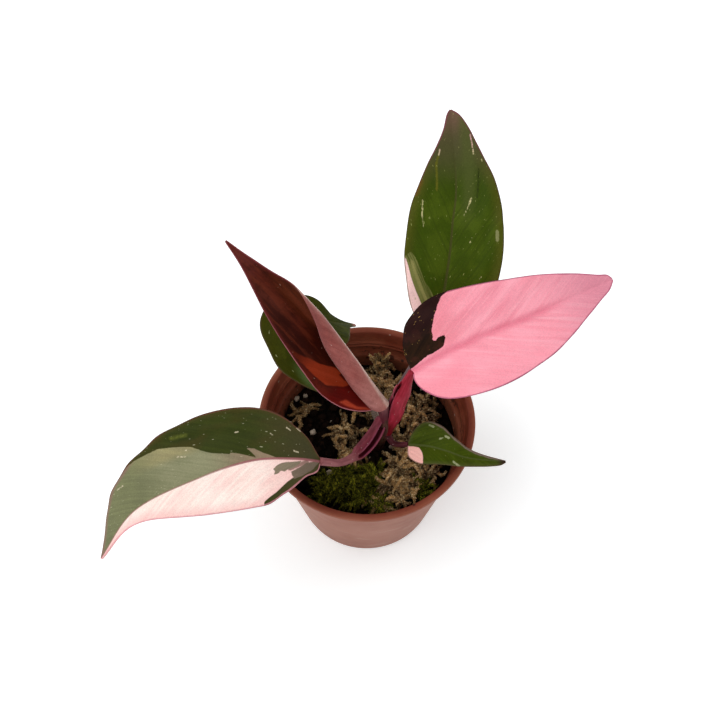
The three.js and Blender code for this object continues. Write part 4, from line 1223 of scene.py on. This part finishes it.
def lump(heap, x, y, size, lie, rng, flat=1.0):
    """An uneven pebble-like grain on the mix. lie is the height of its middle, in sizes."""
    z = float(mix_top(x, y)) + lie * size
    ball = bmesh.new()
    bmesh.ops.create_icosphere(ball, subdivisions=2, radius=1)
    seed = Vector([rng.uniform(0, 90) for _ in range(3)])
    stretch = (rng.uniform(0.7, 1.3), rng.uniform(0.7, 1.3), flat * rng.uniform(0.7, 1.1))
    spin = rng.uniform(0, math.pi)
    points = []
    for v in ball.verts:
        swell = 1 + 0.45 * noise.noise(v.co * 1.3 + seed) + 0.2 * noise.noise(v.co * 3 + seed)
        px, py, pz = (v.co[i] * swell * stretch[i] * size for i in range(3))
        points.append((x + px * math.cos(spin) - py * math.sin(spin),
                       y + px * math.sin(spin) + py * math.cos(spin), z + pz))
    faces = [tuple(v.index for v in f.verts) for f in ball.faces]
    ball.free()
    heap.add(points, faces, rng.random())


# the larger perlite grains: x, y, size
PERLITE = [(-20.6, 16.4, 1.1), (-17.7, 1.4, 1.2), (8, -3, 1.0), (-12, -13.1, 1.2),
           (-23.3, 15.2, 0.9), (23.5, 9, 0.8), (-25, 6, 0.7), (19, -14, 0.7), (2, -24, 0.7),
           (-14, 21, 0.8), (12, 24, 0.7), (24, -6, 0.7), (-20, -12, 0.6), (5, 6, 0.7)]


def perlite_mesh(rng):
    heap = Heap()
    for x, y, size in PERLITE:
        lump(heap, x, y, size, 0.7, rng)
    for _ in range(26):
        x, y, _ = scattered(rng, 27)
        lump(heap, x, y, rng.uniform(0.25, 0.5), 0.5, rng)
    return heap.build("perlite")


def crumbs_mesh(rng):
    heap = Heap()
    for _ in range(520):
        x, y, _ = scattered(rng, 27.8)
        lump(heap, x, y, rng.uniform(0.35, 1.3) ** 1.2, 0.25, rng, flat=0.7)
    return heap.build("bark_crumbs")


def perlite_material():
    s = Shader("perlite", Specular_IOR_Level=0.1)
    cloud = s.noise(s.place(), 700, 4)
    s.paint = s.mix(s.fade(cloud, 0.35, 0.7), "#6a5c4e", "#a89c8c")
    return s.skin((0.7, 0.9), cloud, 0.15)


def crumbs_material():
    s = Shader("bark_crumbs", Specular_IOR_Level=0.03)
    grain = s.noise(s.scaled(s.place(), 500, 500, 1500), 1, 4, 0.65)
    s.paint = s.mix(s.triple("tint")[0], "#050302", "#170d08")
    s.lay("#2a1a10", 0.5, s.fade(grain, 0.5, 0.75))
    return s.skin((0.8, 1.0), grain, 0.4)


def root_material():
    s = Shader("root_skin", Specular_IOR_Level=0.1)
    cloud = s.noise(s.scaled(s.place(), 300, 300, 900))
    s.paint = s.mix(cloud, "#a08c6a", "#d2c6aa")
    return s.skin((0.6, 0.85), cloud, 0.16)


# ---------------------------------------------------------------- assembly


def build_leaves():
    for name, leaf in LEAVES.items():
        material, slot = LEAF_MATERIALS[name]
        blade = blade_mesh("leaf_" + name, leaf, PATCHES.get(name, {}), STREAKS.get(name, {}))
        finish_piece(blade, material(Surface(leaf).length), slot, "blade_" + name)


def build_stalks():
    for name, stalk in PETIOLES.items():
        slot = "petiole_crimson" if name in ("pink", "small") else "petiole_mauve"
        finish_piece(stalk_mesh("stalk_" + name, stalk), stalk_material(name), slot,
                     "petiole_" + name)
    tip = blade_mesh("stalk_pink_tip", LIGULE, {}, {}, cell=0.2, **FILM)
    finish_piece(tip, ligule_material(), "petiole_crimson")


def build_stem():
    def swell(share):
        z = Curve(STEM["path"]).at(share)[2]
        return 1 + sum(0.1 * math.exp(-((z - node) / 0.8) ** 2) for node in STEM_NODES)

    stem = stalk_mesh("stem_bark", STEM, STEM_STEPS, swell, wobble=0.015)
    finish_piece(stem, stalk_material("stem"), "stem", "stem")
    sheath = blade_mesh("sheath_film", SPENT_SHEATH, {}, {}, cell=0.25, **FILM)
    finish_piece(sheath, sheath_material(), "dry_sheath", "spent_sheath")


def build_pot():
    finish_piece(pot_mesh(), pot_material(), "pot", "pot")
    finish_piece(mix_mesh(), mix_material(), "potting_mix", "potting_mix")
    rng = random.Random(4)
    finish_piece(perlite_mesh(rng), perlite_material(), "potting_mix")
    finish_piece(crumbs_mesh(rng), crumbs_material(), "potting_mix")
    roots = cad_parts["roots"].data.materials
    roots.clear()
    roots.append(root_material())


def build_moss():
    rng = random.Random(9)
    beige = moss_material("dry_sphagnum", "#33200d", "#b8905c", "#ffe6b4")
    for name, spots in SPHAGNUM.items():
        piece = clump(name + "_strands", spots, 6, rng, **SPHAGNUM_LOOK)
        finish_piece(piece, beige, "sphagnum", name)
    green = clump("green_moss_fronds", GREEN_MOSS, 4.5, rng, **GREEN_LOOK)
    finish_piece(green, moss_material("green_moss", "#0b0e02", "#565d14", "#c2bd3e"),
                 "green_moss", "green_moss")


# ---------------------------------------------------------------- studio


def build_camera():
    data = bpy.data.cameras.new("camera")
    data.lens, data.sensor_width = CAMERA["lens"], CAMERA["sensor"]
    data.clip_start, data.clip_end = 0.01, 20
    camera = bpy.data.objects.new("camera", data)
    camera.location = [v * MM for v in CAMERA["place"]]
    camera.rotation_euler = (math.radians(CAMERA["tilt"]), 0, 0)
    bpy.context.scene.collection.objects.link(camera)
    bpy.context.scene.camera = camera


def build_lights():
    for name, (place, size, power) in LIGHTS.items():
        data = bpy.data.lights.new(name, "AREA")
        data.shape, data.size, data.energy = "DISK", size, power
        light = bpy.data.objects.new(name, data)
        light.location = place
        direction = Vector(LIGHT_AIM) - Vector(place)
        light.rotation_euler = direction.to_track_quat("-Z", "Y").to_euler()
        bpy.context.scene.collection.objects.link(light)
    world = bpy.data.worlds.new("studio")
    world.use_nodes = True
    background = world.node_tree.nodes["Background"]
    background.inputs["Color"].default_value = (1, 1, 1, 1)
    background.inputs["Strength"].default_value = SKY
    bpy.context.scene.world = world
    bpy.context.scene.view_settings.view_transform = "Standard"
    bpy.context.scene.view_settings.look = "None"


def build_floor():
    bpy.ops.mesh.primitive_plane_add(size=60)
    floor = bpy.context.object
    floor.name = "studio_floor"
    s = Shader("studio_floor", Specular_IOR_Level=0.1, Emission_Color=(1, 1, 1, 1))
    wide = s.noise(s.place(), 3.0, 2)
    away = s.node("VectorMath", {0: s.place()}, operation="LENGTH").outputs["Value"]
    under, round_pot, far = FLOOR_GLOW
    # the glow is lowest within 3 cm of the pot's axis and rises by 9 cm: a painted contact shadow on the
    # floor
    glow = s.range(s.fade(away, 0.03, 0.09), under, round_pot)
    glow = s.plus(s.fade(away, 0.3, 1.5), far - round_pot, glow)
    s.feed(s.surface.inputs["Emission Strength"], glow)
    s.paint = s.mix(wide, "#edf3f4", "#f1f6f7")
    floor.data.materials.append(s.skin((0.9, 0.95), wide, 0.0))


build_camera()
build_floor()
build_lights()
build_pot()
build_moss()
build_stem()
build_stalks()
build_leaves()
